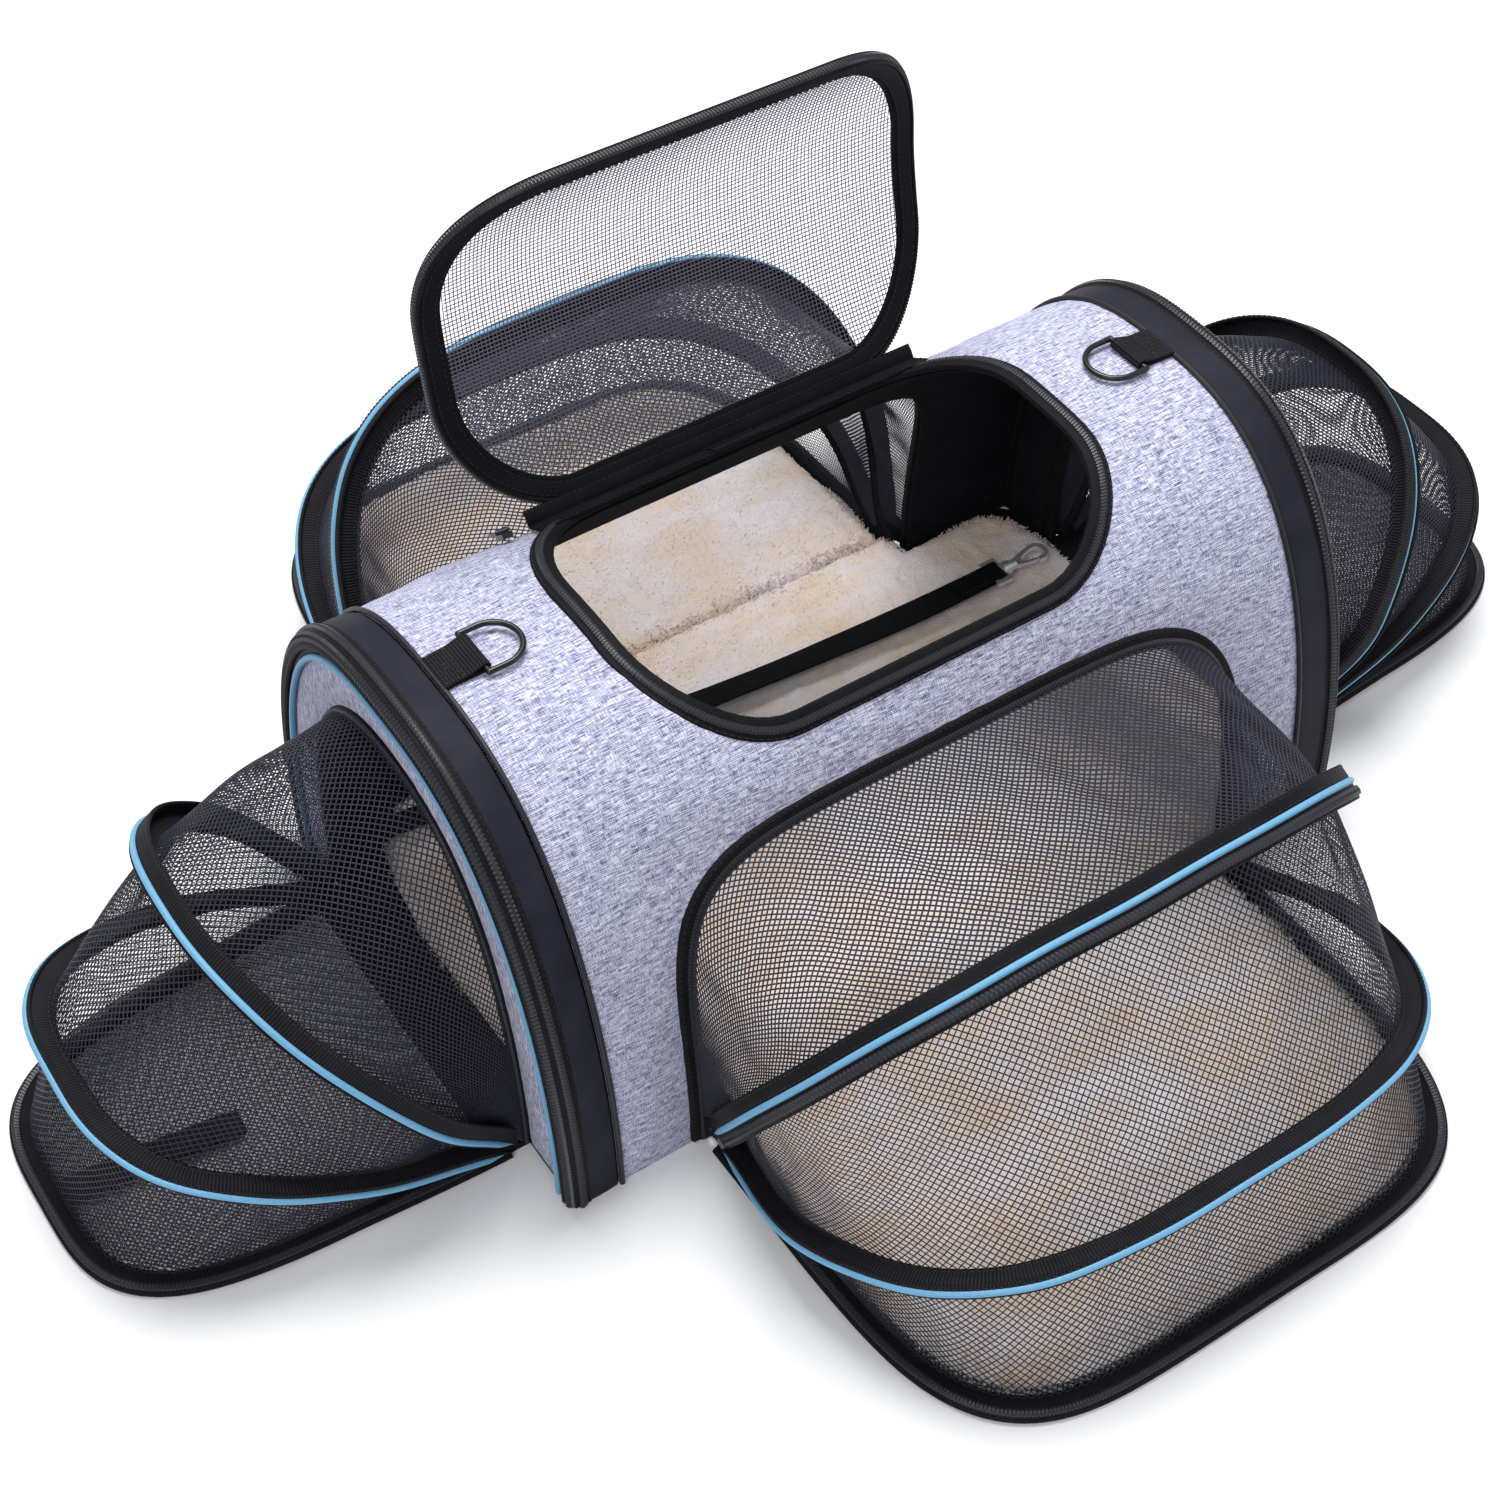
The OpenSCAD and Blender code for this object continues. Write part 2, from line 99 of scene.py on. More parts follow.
def zs(y, o=0.0):
    return (H + o) * (1 - (np.minimum(np.abs(y), AW + o - 0.01) / (AW + o)) ** AN) ** (1 / AM)


LID_Y = TY1 + 5
LID_Z = float(zs(LID_Y)) + 3.8

# arch profile by its length, front foot to back foot
_k = np.linspace(0, pi, 6001)
_y = -AW * np.sign(np.cos(_k)) * np.abs(np.cos(_k)) ** (2 / AN)
_z = H * np.maximum(np.sin(_k), 0) ** (2 / AM)
_s = np.concatenate([[0], np.cumsum(np.hypot(np.diff(_y), np.diff(_z)))])
S_ALL = float(_s[-1])
_sg = np.linspace(0, S_ALL, 1601)
_yg, _zg = np.interp(_sg, _s, _y), np.interp(_sg, _s, _z)
_ty, _tz = np.gradient(_yg, _sg), np.gradient(_zg, _sg)
_tl = np.hypot(_ty, _tz)
_ny, _nz = -_tz / _tl, _ty / _tl


def arch(x, s, o=0.0):
    """Point and outward normal of the arch at length s, grown by o."""
    x, s = np.broadcast_arrays(np.asarray(x, float), np.asarray(s, float))
    y, z = np.interp(s, _sg, _yg), np.interp(s, _sg, _zg)
    ny, nz = np.interp(s, _sg, _ny), np.interp(s, _sg, _nz)
    n = np.stack([np.zeros_like(ny), ny, nz], -1)
    n /= np.linalg.norm(n, axis=-1, keepdims=True)
    p = np.stack([x, y, z], -1)
    o = np.asarray(o, float)
    return p + n * (o[..., None] if o.ndim else o), n


_half = len(_sg) // 2 + 1


def s_front(z):
    return np.interp(z, _zg[:_half], _sg[:_half])


def s_top(y):
    return np.interp(y, _yg, _sg)


def u_pt(b, p, g=0.0):
    w, d, e = b[1] + g, b[2] + g, b[3]
    c, sn = np.cos(p), np.maximum(np.sin(p), 0)
    r = 1 / ((np.abs(c) / w) ** e + (sn / d) ** e) ** (1 / e)
    dd = r * sn
    k = np.minimum(1, dd / (0.45 * d))
    s = k * k * (3 - 2 * k)
    return -r * c * ((b[0] + g) + (w - b[0] - g) * s) / w, dd


TURN = {"back": 0, "front": 180, "left": 90, "right": -90}


def turned(side, P):
    a = rad(TURN[side])
    c, s = round(math.cos(a)), round(math.sin(a))
    P = np.asarray(P, float)
    return np.stack([P[..., 0] * c - P[..., 1] * s, P[..., 0] * s + P[..., 1] * c, P[..., 2]], -1)


def leaf(side, b, a, off, p, g=0.0):
    ax = SIDE_AX if side in ("front", "back") else END_AX
    q0, q1 = u_pt(b, p, g)
    a = rad(a)
    P = np.stack([q0, ax + q1 * math.cos(a) - off * math.sin(a), AXZ + q1 * math.sin(a) + off * math.cos(a)], -1)
    return turned(side, P)


def leaf_up(side, a):
    a = rad(a)
    return turned(side, np.array([0, -math.sin(a), math.cos(a)]))


def leaf_xy(side, a, off, x, d):
    ax = SIDE_AX if side in ("front", "back") else END_AX
    a = rad(a)
    x, d, off = np.broadcast_arrays(np.asarray(x, float), np.asarray(d, float), np.asarray(off, float))
    P = np.stack([x, ax + d * math.cos(a) - off * math.sin(a), AXZ + d * math.sin(a) + off * math.cos(a)], -1)
    return turned(side, P)


def unit(v):
    return v / np.maximum(np.linalg.norm(v, axis=-1, keepdims=True), 1e-12)


def waves(a, b, seed, size, n=7):
    """Smooth, seeded unevenness of two coordinates, about -1 to 1."""
    r = np.random.default_rng(seed)
    out = 0
    for _ in range(n):
        t = r.uniform(0, 2 * pi)
        f = 2 * pi / (size * r.uniform(0.6, 1.6))
        out = out + np.sin((a * math.cos(t) + b * math.sin(t)) * f + r.uniform(0, 2 * pi))
    return out / math.sqrt(n) / 1.2


# ------------------------------------------------------------------ meshes
def make(name, V, Fs, mats, uv=None, idx=None, smooth=35, closed=True):
    V = np.asarray(V, float)
    Fs = [np.asarray(f, np.int64) for f in (Fs if isinstance(Fs, list) else [Fs]) if len(f)]
    if closed:
        vol = 0.0
        for f in Fs:
            for j in range(1, f.shape[1] - 1):
                vol += (V[f[:, 0]] * np.cross(V[f[:, j]], V[f[:, j + 1]])).sum()
        if vol < 0:
            Fs = [f[:, ::-1] for f in Fs]
    loops = np.concatenate([f.ravel() for f in Fs])
    sizes = np.concatenate([np.full(len(f), f.shape[1]) for f in Fs])
    starts = np.concatenate([[0], np.cumsum(sizes)[:-1]])
    me = bpy.data.meshes.new(name)
    me.vertices.add(len(V))
    me.vertices.foreach_set("co", (V * MM).astype(np.float32).ravel())
    me.loops.add(len(loops))
    me.loops.foreach_set("vertex_index", loops.astype(np.int32))
    me.polygons.add(len(sizes))
    me.polygons.foreach_set("loop_start", starts.astype(np.int32))
    me.update(calc_edges=True)
    if uv is not None:
        layer = me.uv_layers.new(name="UVMap")
        layer.data.foreach_set("uv", (np.asarray(uv, float)[loops] * MM).astype(np.float32).ravel())
    for m in mats if isinstance(mats, (list, tuple)) else [mats]:
        me.materials.append(m)
    if idx is not None:
        me.polygons.foreach_set("material_index", np.asarray(idx, np.int32))
    if smooth:
        me.polygons.foreach_set("use_smooth", np.ones(len(sizes), bool))
        me.set_sharp_from_angle(angle=rad(smooth))
    me.validate()
    o = bpy.data.objects.new(name, me)
    bpy.context.scene.collection.objects.link(o)
    return o


def ride(o, body, rep=()):
    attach(o, body)
    if rep:
        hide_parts(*rep)
    return o


def bend(o, rep=()):
    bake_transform(o)
    if rep:
        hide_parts(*rep)
    return o


def resample(P, step, closed=False, extra=()):
    """P and arrays beside it, evenly spaced about step apart."""
    P = np.asarray(P, float)
    Q = np.concatenate([P, P[:1]]) if closed else P
    c = np.concatenate([[0], np.cumsum(np.linalg.norm(np.diff(Q, axis=0), axis=1))])
    n = max(2, int(round(c[-1] / step)))
    t = np.linspace(0, c[-1], n + 1)
    if closed:
        t = t[:-1]
    out = [np.stack([np.interp(t, c, Q[:, j]) for j in range(3)], -1)]
    for E in extra:
        E = np.asarray(E, float)
        if E.ndim == 1:
            E = np.broadcast_to(E, P.shape)
        G = np.concatenate([E, E[:1]]) if closed else E
        out.append(unit(np.stack([np.interp(t, c, G[:, j]) for j in range(3)], -1)))
    return out, t, c[-1]


def frames(P, N, closed=False):
    if closed:
        T = np.roll(P, -1, 0) - np.roll(P, 1, 0)
    else:
        T = np.gradient(P, axis=0)
    T = unit(T)
    B = unit(np.cross(T, N))
    return T, B, unit(np.cross(B, T))


def sweep(P, N, sec, closed=False, t=None):
    """Closed section (m,2) or (n,m,2) of (sideways, outwards) along P. Returns V, faces, uv."""
    n = len(P)
    T, B, N = frames(P, N, closed)
    sec = np.asarray(sec, float)
    if sec.ndim == 2:
        sec = np.broadcast_to(sec, (n,) + sec.shape)
    m = sec.shape[1]
    V = P[:, None] + B[:, None] * sec[..., :1] + N[:, None] * sec[..., 1:]
    if t is None:
        t = np.concatenate([[0], np.cumsum(np.linalg.norm(np.diff(P, axis=0), axis=1))])
    around = np.concatenate([[0], np.cumsum(np.linalg.norm(np.diff(sec[n // 2], axis=0), axis=1))])
    uv = np.stack(np.broadcast_arrays(t[:, None], around[None]), -1).reshape(-1, 2)
    i = np.arange(n if closed else n - 1)[:, None]
    j = np.arange(m)[None]
    i2, j2 = (i + 1) % n, (j + 1) % m
    F = [np.stack(np.broadcast_arrays(i * m + j, i2 * m + j, i2 * m + j2, i * m + j2), -1).reshape(-1, 4)]
    V = V.reshape(-1, 3)
    if not closed:
        c = np.array([V[:m].mean(0), V[-m:].mean(0)])
        k = len(V)
        V = np.concatenate([V, c])
        uv = np.concatenate([uv, [uv[0], uv[-1]]])
        a = np.arange(m)
        b = (a + 1) % m
        F.append(np.stack([a, b, np.full(m, k)], -1))
        F.append(np.stack([b + (n - 1) * m, a + (n - 1) * m, np.full(m, k + 1)], -1))
    return V, F, uv


def join(parts):
    """Parts of (V, [faces], uv) as one."""
    V, F, U, k = [], {}, [], 0
    for v, fs, u in parts:
        V.append(v)
        U.append(u)
        for f in fs:
            if len(f):
                F.setdefault(f.shape[1], []).append(f + k)
        k += len(v)
    return np.concatenate(V), [np.concatenate(F[s]) for s in sorted(F)], np.concatenate(U)


def circle(r, n=10, squash=1.0, c=(0, 0)):
    a = np.arange(n) * 2 * pi / n
    return np.stack([c[0] + r * np.cos(a), c[1] + r * squash * np.sin(a)], -1)


def pill(b0, b1, n0, n1, r=None, crown=0.0, n=5):
    """Rounded band section from b0 to b1 sideways and n0 to n1 outwards, its top crowned."""
    r = min((n1 - n0) / 2, (b1 - b0) / 2) if r is None else r
    pts = []
    for cx, cy, a0 in ((b1 - r, n1 - r, 0), (b0 + r, n1 - r, 90), (b0 + r, n0 + r, 180), (b1 - r, n0 + r, 270)):
        for a in np.linspace(a0, a0 + 90, n):
            pts.append((cx + r * math.cos(rad(a)), cy + r * math.sin(rad(a))))
        if a0 == 0:
            for k in (0.25, 0.5, 0.75):
                x = (b1 - r) + ((b0 + r) - (b1 - r)) * k
                pts.append((x, n1 + crown * 4 * k * (1 - k)))
    return np.array(pts)


def coil(P, N, side, up, closed=False, width=4.4, height=1.5, pitch=1.7, name=None):
    """Zipper coil: two rows of teeth that lock with half a pitch between them."""
    (P, N), t, length = resample(P, pitch / 4, closed, (N,))
    n = len(P)
    w, h = width / 2, height
    ph = (np.arange(n) % 4)
    lo = 0.62
    a = np.where((ph == 0) | (ph == 1), 1.0, lo)[:, None]
    b = np.where((ph == 2) | (ph == 3), 1.0, lo)[:, None]
    x = np.array([-1.0, -0.86, -0.3, 0.3, 0.86, 1.0]) * w
    y = np.array([-0.1, 0.75, 1.0, 1.0, 0.75, -0.1]) * h
    kx = np.concatenate([np.repeat(a * 0.35 + 0.65, 3, 1), np.repeat(b * 0.35 + 0.65, 3, 1)], 1)
    ky = np.concatenate([np.repeat(a, 3, 1), np.repeat(b, 3, 1)], 1)
    sec = np.stack([side + x * kx, up + y * ky], -1)
    return sweep(P, N, sec, closed, t)


def inside(pts, poly):
    pts, poly = np.asarray(pts, float), np.asarray(poly, float)
    x, y = pts[:, 0], pts[:, 1]
    ins = np.zeros(len(pts), bool)
    a, b = poly, np.roll(poly, -1, 0)
    for (x0, y0), (x1, y1) in zip(a, b):
        if y0 == y1:
            continue
        hit = (y0 > y) != (y1 > y)
        ins ^= hit & (x < (x1 - x0) * (y - y0) / (y1 - y0) + x0)
    return ins


def nearest(pts, lines):
    """Distance of each point from the nearest of these points."""
    from mathutils.kdtree import KDTree
    kd = KDTree(len(lines))
    for i, p in enumerate(lines):
        kd.insert((p[0], p[1], 0), i)
    kd.balance()
    return np.array([kd.find((p[0], p[1], 0))[2] for p in pts])


def dense(poly, step):
    poly = np.asarray(poly, float)
    out = []
    for a, b in zip(poly, np.roll(poly, -1, 0)):
        n = max(1, int(math.ceil(np.hypot(*(b - a)) / step)))
        out += [a + (b - a) * k / n for k in range(n)]
    return np.array(out)


def flat_mesh(outer, holes, step, edge_step=None):
    """Triangles filling outer less holes, in the plane. Returns points, triangles, distance to an edge."""
    edge_step = edge_step or step
    rings = [dense(p, edge_step) for p in [outer] + list(holes)]
    pts, edges = [], []
    for r in rings:
        k = len(pts)
        pts += [tuple(p) for p in r]
        edges += [(k + i, k + (i + 1) % len(r)) for i in range(len(r))]
    lo, hi = rings[0].min(0), rings[0].max(0)
    gx = np.arange(lo[0] + step / 2, hi[0], step)
    gy = np.arange(lo[1] + step / 2, hi[1], step * 0.866)
    G = np.array([(x + (step / 2 if j % 2 else 0), y) for j, y in enumerate(gy) for x in gx])
    keep = inside(G, outer)
    for h in holes:
        keep &= ~inside(G, h)
    G = G[keep]
    line = np.concatenate(rings)
    G = G[nearest(G, line) > 0.6 * step]
    v, _, f, _, _, _ = delaunay_2d_cdt([Vector(p) for p in pts] + [Vector(p) for p in G.tolist()], edges, [], 0, 1e-4)
    v = np.array([(p.x, p.y) for p in v])
    f = np.array([t for t in f if len(t) == 3])
    c = v[f].mean(1)
    ok = inside(c, outer)
    for h in holes:
        ok &= ~inside(c, h)
    f = f[ok]
    a = v[f]
    area = np.abs((a[:, 1, 0] - a[:, 0, 0]) * (a[:, 2, 1] - a[:, 0, 1]) - (a[:, 1, 1] - a[:, 0, 1]) * (a[:, 2, 0] - a[:, 0, 0]))
    f = f[area > 1e-3]
    used, f = np.unique(f, return_inverse=True)
    f = f.reshape(-1, 3)
    v = v[used]
    d = nearest(v, dense(line, 1e9)) if False else nearest(v, np.concatenate([dense(r, 1.5) for r in rings]))
    return v, f, d


def slab(v, f, top, bottom):
    """A closed slab from a flat mesh and the 3-D places of its top and bottom."""
    n = len(v)
    e = np.sort(np.concatenate([f[:, [0, 1]], f[:, [1, 2]], f[:, [2, 0]]]), axis=1)
    d = np.concatenate([f[:, [0, 1]], f[:, [1, 2]], f[:, [2, 0]]])
    _, inv, cnt = np.unique(e, axis=0, return_inverse=True, return_counts=True)
    rim = d[cnt[inv.ravel()] == 1]
    V = np.concatenate([top, bottom])
    F = [np.concatenate([f, f[:, ::-1] + n]), np.stack([rim[:, 1], rim[:, 0], rim[:, 0] + n, rim[:, 1] + n], -1)]
    return V, F, np.concatenate([v, v])


def round_rect(x0, x1, y0, y1, r, n=14):
    pts = []
    for cx, cy, a0 in ((x1 - r, y1 - r, 0), (x0 + r, y1 - r, 90), (x0 + r, y0 + r, 180), (x1 - r, y0 + r, 270)):
        for a in np.linspace(a0, a0 + 90, n):
            pts.append((cx + r * math.cos(rad(a)), cy + r * math.sin(rad(a))))
    return np.array(pts)


# ------------------------------------------------------------------ materials
def new_mat(name, color=(0.5, 0.5, 0.5), rough=0.7, metal=0.0, sheen=0.0, spec=None, coat=0.0):
    m = bpy.data.materials.new(name)
    m.use_nodes = True
    nt = m.node_tree
    b = nt.nodes["Principled BSDF"]
    b.inputs["Base Color"].default_value = (*color, 1)
    b.inputs["Roughness"].default_value = rough
    b.inputs["Metallic"].default_value = metal
    if sheen:
        b.inputs["Sheen Weight"].default_value = sheen
        b.inputs["Sheen Roughness"].default_value = 0.5
    if spec is not None:
        b.inputs["Specular IOR Level"].default_value = spec
    if coat:
        b.inputs["Coat Weight"].default_value = coat
        b.inputs["Coat Roughness"].default_value = 0.15
    return m, nt, b


def node(nt, kind, **kw):
    n = nt.nodes.new(kind)
    for k, v in kw.items():
        if k in n.inputs:
            n.inputs[k].default_value = v
        else:
            setattr(n, k, v)
    return n


def coords(nt, scale=(1, 1, 1), kind="UV"):
    c = nt.nodes.new("ShaderNodeTexCoord")
    m = nt.nodes.new("ShaderNodeMapping")
    m.inputs["Scale"].default_value = scale
    nt.links.new(c.outputs[kind], m.inputs["Vector"])
    return m.outputs["Vector"]


def noise(nt, vec, scale, detail=2.0, rough=0.5, dim="3D"):
    n = node(nt, "ShaderNodeTexNoise", noise_dimensions=dim)
    n.inputs["Scale"].default_value = scale
    n.inputs["Detail"].default_value = detail
    n.inputs["Roughness"].default_value = rough
    nt.links.new(vec, n.inputs["Vector"])
    return n.outputs[0]


def bands(nt, vec, period, direction="X", distort=0.0):
    n = node(nt, "ShaderNodeTexWave", wave_type="BANDS", bands_direction=direction)
    n.inputs["Scale"].default_value = 2 * pi / (20 * period)
    n.inputs["Distortion"].default_value = distort
    n.inputs["Detail"].default_value = 1.0
    nt.links.new(vec, n.inputs["Vector"])
    return n.outputs["Fac"]


def math_(nt, op, a, b):
    n = node(nt, "ShaderNodeMath", operation=op)
    for i, v in enumerate((a, b)):
        if isinstance(v, (int, float)):
            n.inputs[i].default_value = v
        else:
            nt.links.new(v, n.inputs[i])
    return n.outputs[0]


def ramp(nt, fac, stops):
    n = nt.nodes.new("ShaderNodeValToRGB")
    e = n.color_ramp.elements
    while len(e) < len(stops):
        e.new(0.5)
    for i, (p, c) in enumerate(stops):
        e[i].position = p
        e[i].color = (*c, 1)
    nt.links.new(fac, n.inputs[0])
    return n.outputs[0]


def bump(nt, b, height, strength=0.3, dist=0.0005):
    n = nt.nodes.new("ShaderNodeBump")
    n.inputs["Strength"].default_value = strength
    n.inputs["Distance"].default_value = dist
    nt.links.new(height, n.inputs["Height"])
    nt.links.new(n.outputs[0], b.inputs["Normal"])


def linen(name):
    m, nt, b = new_mat(name, rough=0.88, sheen=0.08, spec=0.2)
    v = coords(nt)
    n1 = noise(nt, coords(nt, (180, 2700, 1)), 1.0, 2.0, 0.6, "2D")
    n2 = noise(nt, coords(nt, (2700, 230, 1)), 1.0, 2.0, 0.6, "2D")
    n3 = noise(nt, coords(nt, (60, 800, 1)), 1.0, 1.0, 0.5, "2D")
    s = math_(nt, "ADD", math_(nt, "MULTIPLY", n1, 0.50), math_(nt, "MULTIPLY", n2, 0.34))
    s = math_(nt, "ADD", s, math_(nt, "MULTIPLY", n3, 0.16))
    nt.links.new(ramp(nt, s, [(0.38, (0.09, 0.09, 0.16)), (0.45, (0.27, 0.275, 0.42)), (0.52, (0.49, 0.50, 0.67)), (0.60, (0.80, 0.805, 0.91))]), b.inputs["Base Color"])
    w = math_(nt, "ADD", bands(nt, v, 0.0011, "X"), bands(nt, v, 0.0009, "Y"))
    h = math_(nt, "ADD", math_(nt, "MULTIPLY", w, 0.35), s)
    bump(nt, b, h, 0.5, 0.0004)
    return m


def cloth(name, dark, light, rough=0.75, period=0.0009, strength=0.35, sheen=0.0, spec=0.12, kind="UV"):
    """Plain woven fabric with slightly uneven yarns."""
    m, nt, b = new_mat(name, rough=rough, sheen=sheen, spec=spec)
    v = coords(nt, kind=kind)
    w = math_(nt, "MULTIPLY", bands(nt, v, period, "X", 0.4), bands(nt, v, period, "Y", 0.4))
    n = noise(nt, v, 45.0, 3.0)
    f = math_(nt, "ADD", math_(nt, "MULTIPLY", w, 0.45), math_(nt, "MULTIPLY", n, 0.6))
    nt.links.new(ramp(nt, f, [(0.2, dark), (0.75, light)]), b.inputs["Base Color"])
    bump(nt, b, w, strength, 0.0003)
    return m


def ribbed(name, dark, light, period=0.0013, rough=0.7, strength=0.8):
    """Woven tape: ribs across its length and a fine edge weave."""
    m, nt, b = new_mat(name, rough=rough, spec=0.15)
    v = coords(nt)
    r = bands(nt, v, period, "X", 0.15)
    w = bands(nt, v, period * 0.8, "Y", 0.3)
    n = noise(nt, v, 60.0, 3.0)
    f = math_(nt, "ADD", math_(nt, "MULTIPLY", r, 0.55), math_(nt, "MULTIPLY", n, 0.45))
    nt.links.new(ramp(nt, f, [(0.2, dark), (0.8, light)]), b.inputs["Base Color"])
    bump(nt, b, math_(nt, "ADD", r, math_(nt, "MULTIPLY", w, 0.35)), strength, 0.0004)
    return m


def plush(name):
    m, nt, b = new_mat(name, rough=0.95, sheen=0.35, spec=0.1)
    v = coords(nt, kind="Object")
    n1 = noise(nt, v, 15.0, 3.0, 0.55)
    n2 = noise(nt, coords(nt, (20, 60, 20), "Object"), 1.0, 3.0, 0.6)
    n3 = noise(nt, v, 520.0, 2.0, 0.6)
    f = math_(nt, "ADD", math_(nt, "MULTIPLY", n1, 0.42), math_(nt, "MULTIPLY", n2, 0.34))
    f = math_(nt, "ADD", f, math_(nt, "MULTIPLY", n3, 0.24))
    nt.links.new(ramp(nt, f, [(0.37, (0.88, 0.68, 0.52)), (0.45, (0.92, 0.76, 0.64)), (0.52, (0.93, 0.82, 0.78)), (0.62, (0.97, 0.92, 0.95))]), b.inputs["Base Color"])
    bump(nt, b, n3, 0.8, 0.0012)
    return m


def painted(name, color, rough, metal=0.0, coat=0.0, size=900.0, vary=0.15):
    """Moulded plastic, lacquered wire or plated metal with a slightly uneven gloss."""
    m, nt, b = new_mat(name, color, rough, metal, coat=coat)
    v = coords(nt, kind="Object")
    n = noise(nt, v, size, 3.0)
    lo, hi = [c * (1 - vary) for c in color], [min(1, c * (1 + vary)) for c in color]
    nt.links.new(ramp(nt, n, [(0.3, lo), (0.7, hi)]), b.inputs["Base Color"])
    r = math_(nt, "ADD", math_(nt, "MULTIPLY", n, 0.12), rough - 0.06)
    nt.links.new(r, b.inputs["Roughness"])
    bump(nt, b, n, 0.06, 0.0002)
    return m


M_LINEN = linen("grey_linen")
M_BAND = cloth("charcoal_fabric", (0.010, 0.010, 0.017), (0.030, 0.031, 0.048), rough=0.6, period=0.0007, strength=0.3)
M_BLACK = cloth("black_lining", (0.006, 0.006, 0.009), (0.018, 0.018, 0.025), rough=0.9, spec=0.1)
M_BIND = cloth("black_binding", (0.0035, 0.0035, 0.005), (0.013, 0.013, 0.017), rough=0.65, period=0.0012, strength=0.5)
M_WEB = ribbed("black_webbing", (0.003, 0.003, 0.004), (0.019, 0.019, 0.024), period=0.0016)
M_TAPE = cloth("zipper_tape", (0.0035, 0.0035, 0.0045), (0.014, 0.014, 0.018), rough=0.6, period=0.0008, strength=0.5)
M_COIL = new_mat("zipper_coil", (0.022, 0.023, 0.031), 0.36, spec=0.4)[0]
M_PIPE = painted("black_piping", (0.008, 0.008, 0.012), 0.55)
M_BLUE = painted("blue_piping", (0.15, 0.385, 0.60), 0.6, vary=0.08)
M_NET = new_mat("black_netting", (0.026, 0.027, 0.045), 0.55, spec=0.3)[0]
M_LIDNET = new_mat("lid_netting", (0.13, 0.13, 0.18), 0.5, spec=0.4)[0]
M_PLUSH = plush("cream_plush")
M_WIRE = painted("black_wire", (0.004, 0.004, 0.005), 0.32, coat=0.08, vary=0.1)
M_SLIDE = painted("black_slider", (0.02, 0.02, 0.023), 0.3, metal=0.3)
M_STEEL = painted("plated_steel", (0.86, 0.86, 0.88), 0.34, metal=0.75, vary=0.05)
M_TETHER = ribbed("tether_webbing", (0.002, 0.002, 0.003), (0.008, 0.008, 0.010), period=0.0016)
M_BIND_FLAT = new_mat("root_tape", (0.0045, 0.0045, 0.006), 0.75, spec=0.2)[0]
M_BASE = cloth("base_cover", (0.003, 0.003, 0.004), (0.012, 0.012, 0.015), rough=0.8, kind="Object")
M_THREAD = new_mat("stitching", (0.02, 0.02, 0.025), 0.6, spec=0.3)[0]

for n_, m_ in (("base_panel", M_BASE), ("d_ring_left", M_WIRE), ("d_ring_right", M_WIRE), ("hook_eye", M_STEEL),
               ("hook", M_STEEL), ("hook_gate", M_STEEL), ("zipper_slider", M_SLIDE), ("zipper_pull", M_SLIDE)):
    o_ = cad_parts[n_]
    for s_ in o_.material_slots:
        s_.link = "DATA"
        s_.material = m_
    if not o_.material_slots:
        o_.data.materials.append(m_)


def fade(t, a, b):
    k = np.clip((t - a) / (b - a), 0, 1)
    return k * k * (3 - 2 * k)


def stitch_line(P, N, side, up, length=2.4, gap=1.2, r=0.3, closed=False):
    """A row of small raised stitches along a line."""
    (P, N), t, _ = resample(P, length + gap, closed, (N,))
    T, B, N = frames(P, N, closed)
    C = P + B * side + N * up
    n = len(C)
    a = np.arange(5) * 2 * pi / 5
    ring = B[:, None] * np.cos(a)[None, :, None] + N[:, None] * np.sin(a)[None, :, None]
    rows = [C[:, None] + T[:, None] * (f * length / 2) + ring * (k * r) - N[:, None] * (d * r) for f, k, d in ((-1, 0.35, 0.9), (-0.6, 1, 0), (0.6, 1, 0), (1, 0.35, 0.9))]
    V = np.concatenate(rows, 1).reshape(-1, 3)
    k = np.arange(n)[:, None, None] * 20
    i = np.arange(3)[None, :, None] * 5
    j = np.arange(5)[None, None]
    j2 = (j + 1) % 5
    F = np.stack(np.broadcast_arrays(k + i + j, k + i + 5 + j, k + i + 5 + j2, k + i + j2), -1).reshape(-1, 4)
    caps = np.concatenate([np.arange(n)[:, None] * 20 + np.arange(5)[None, ::-1][:, ::-1], np.arange(n)[:, None] * 20 + 15 + np.arange(5)[None, ::-1]])
    return V, [F, caps], np.zeros((len(V), 2))


def group(name, parts, mats, smooth=35):
    """Parts (V, [faces], uv, material index) as one piece."""
    vol_fixed = []
    for v, fs, u, m in parts:
        vol = 0.0
        for f in fs:
            for j in range(1, f.shape[1] - 1):
                vol += (v[f[:, 0]] * np.cross(v[f[:, j]], v[f[:, j + 1]])).sum()
        vol_fixed.append((v, [f[:, ::-1] for f in fs] if vol < 0 else fs, u, m))
    V, U, by, k = [], [], {}, 0
    for v, fs, u, m in vol_fixed:
        V.append(v)
        U.append(u)
        for f in fs:
            if len(f):
                by.setdefault(f.shape[1], []).append((f + k, np.full(len(f), m)))
        k += len(v)
    Fs = [np.concatenate([x[0] for x in by[s]]) for s in sorted(by)]
    idx = np.concatenate([np.concatenate([x[1] for x in by[s]]) for s in sorted(by)])
    return make(name, np.concatenate(V), Fs, mats, np.concatenate(U), idx, smooth, closed=False)


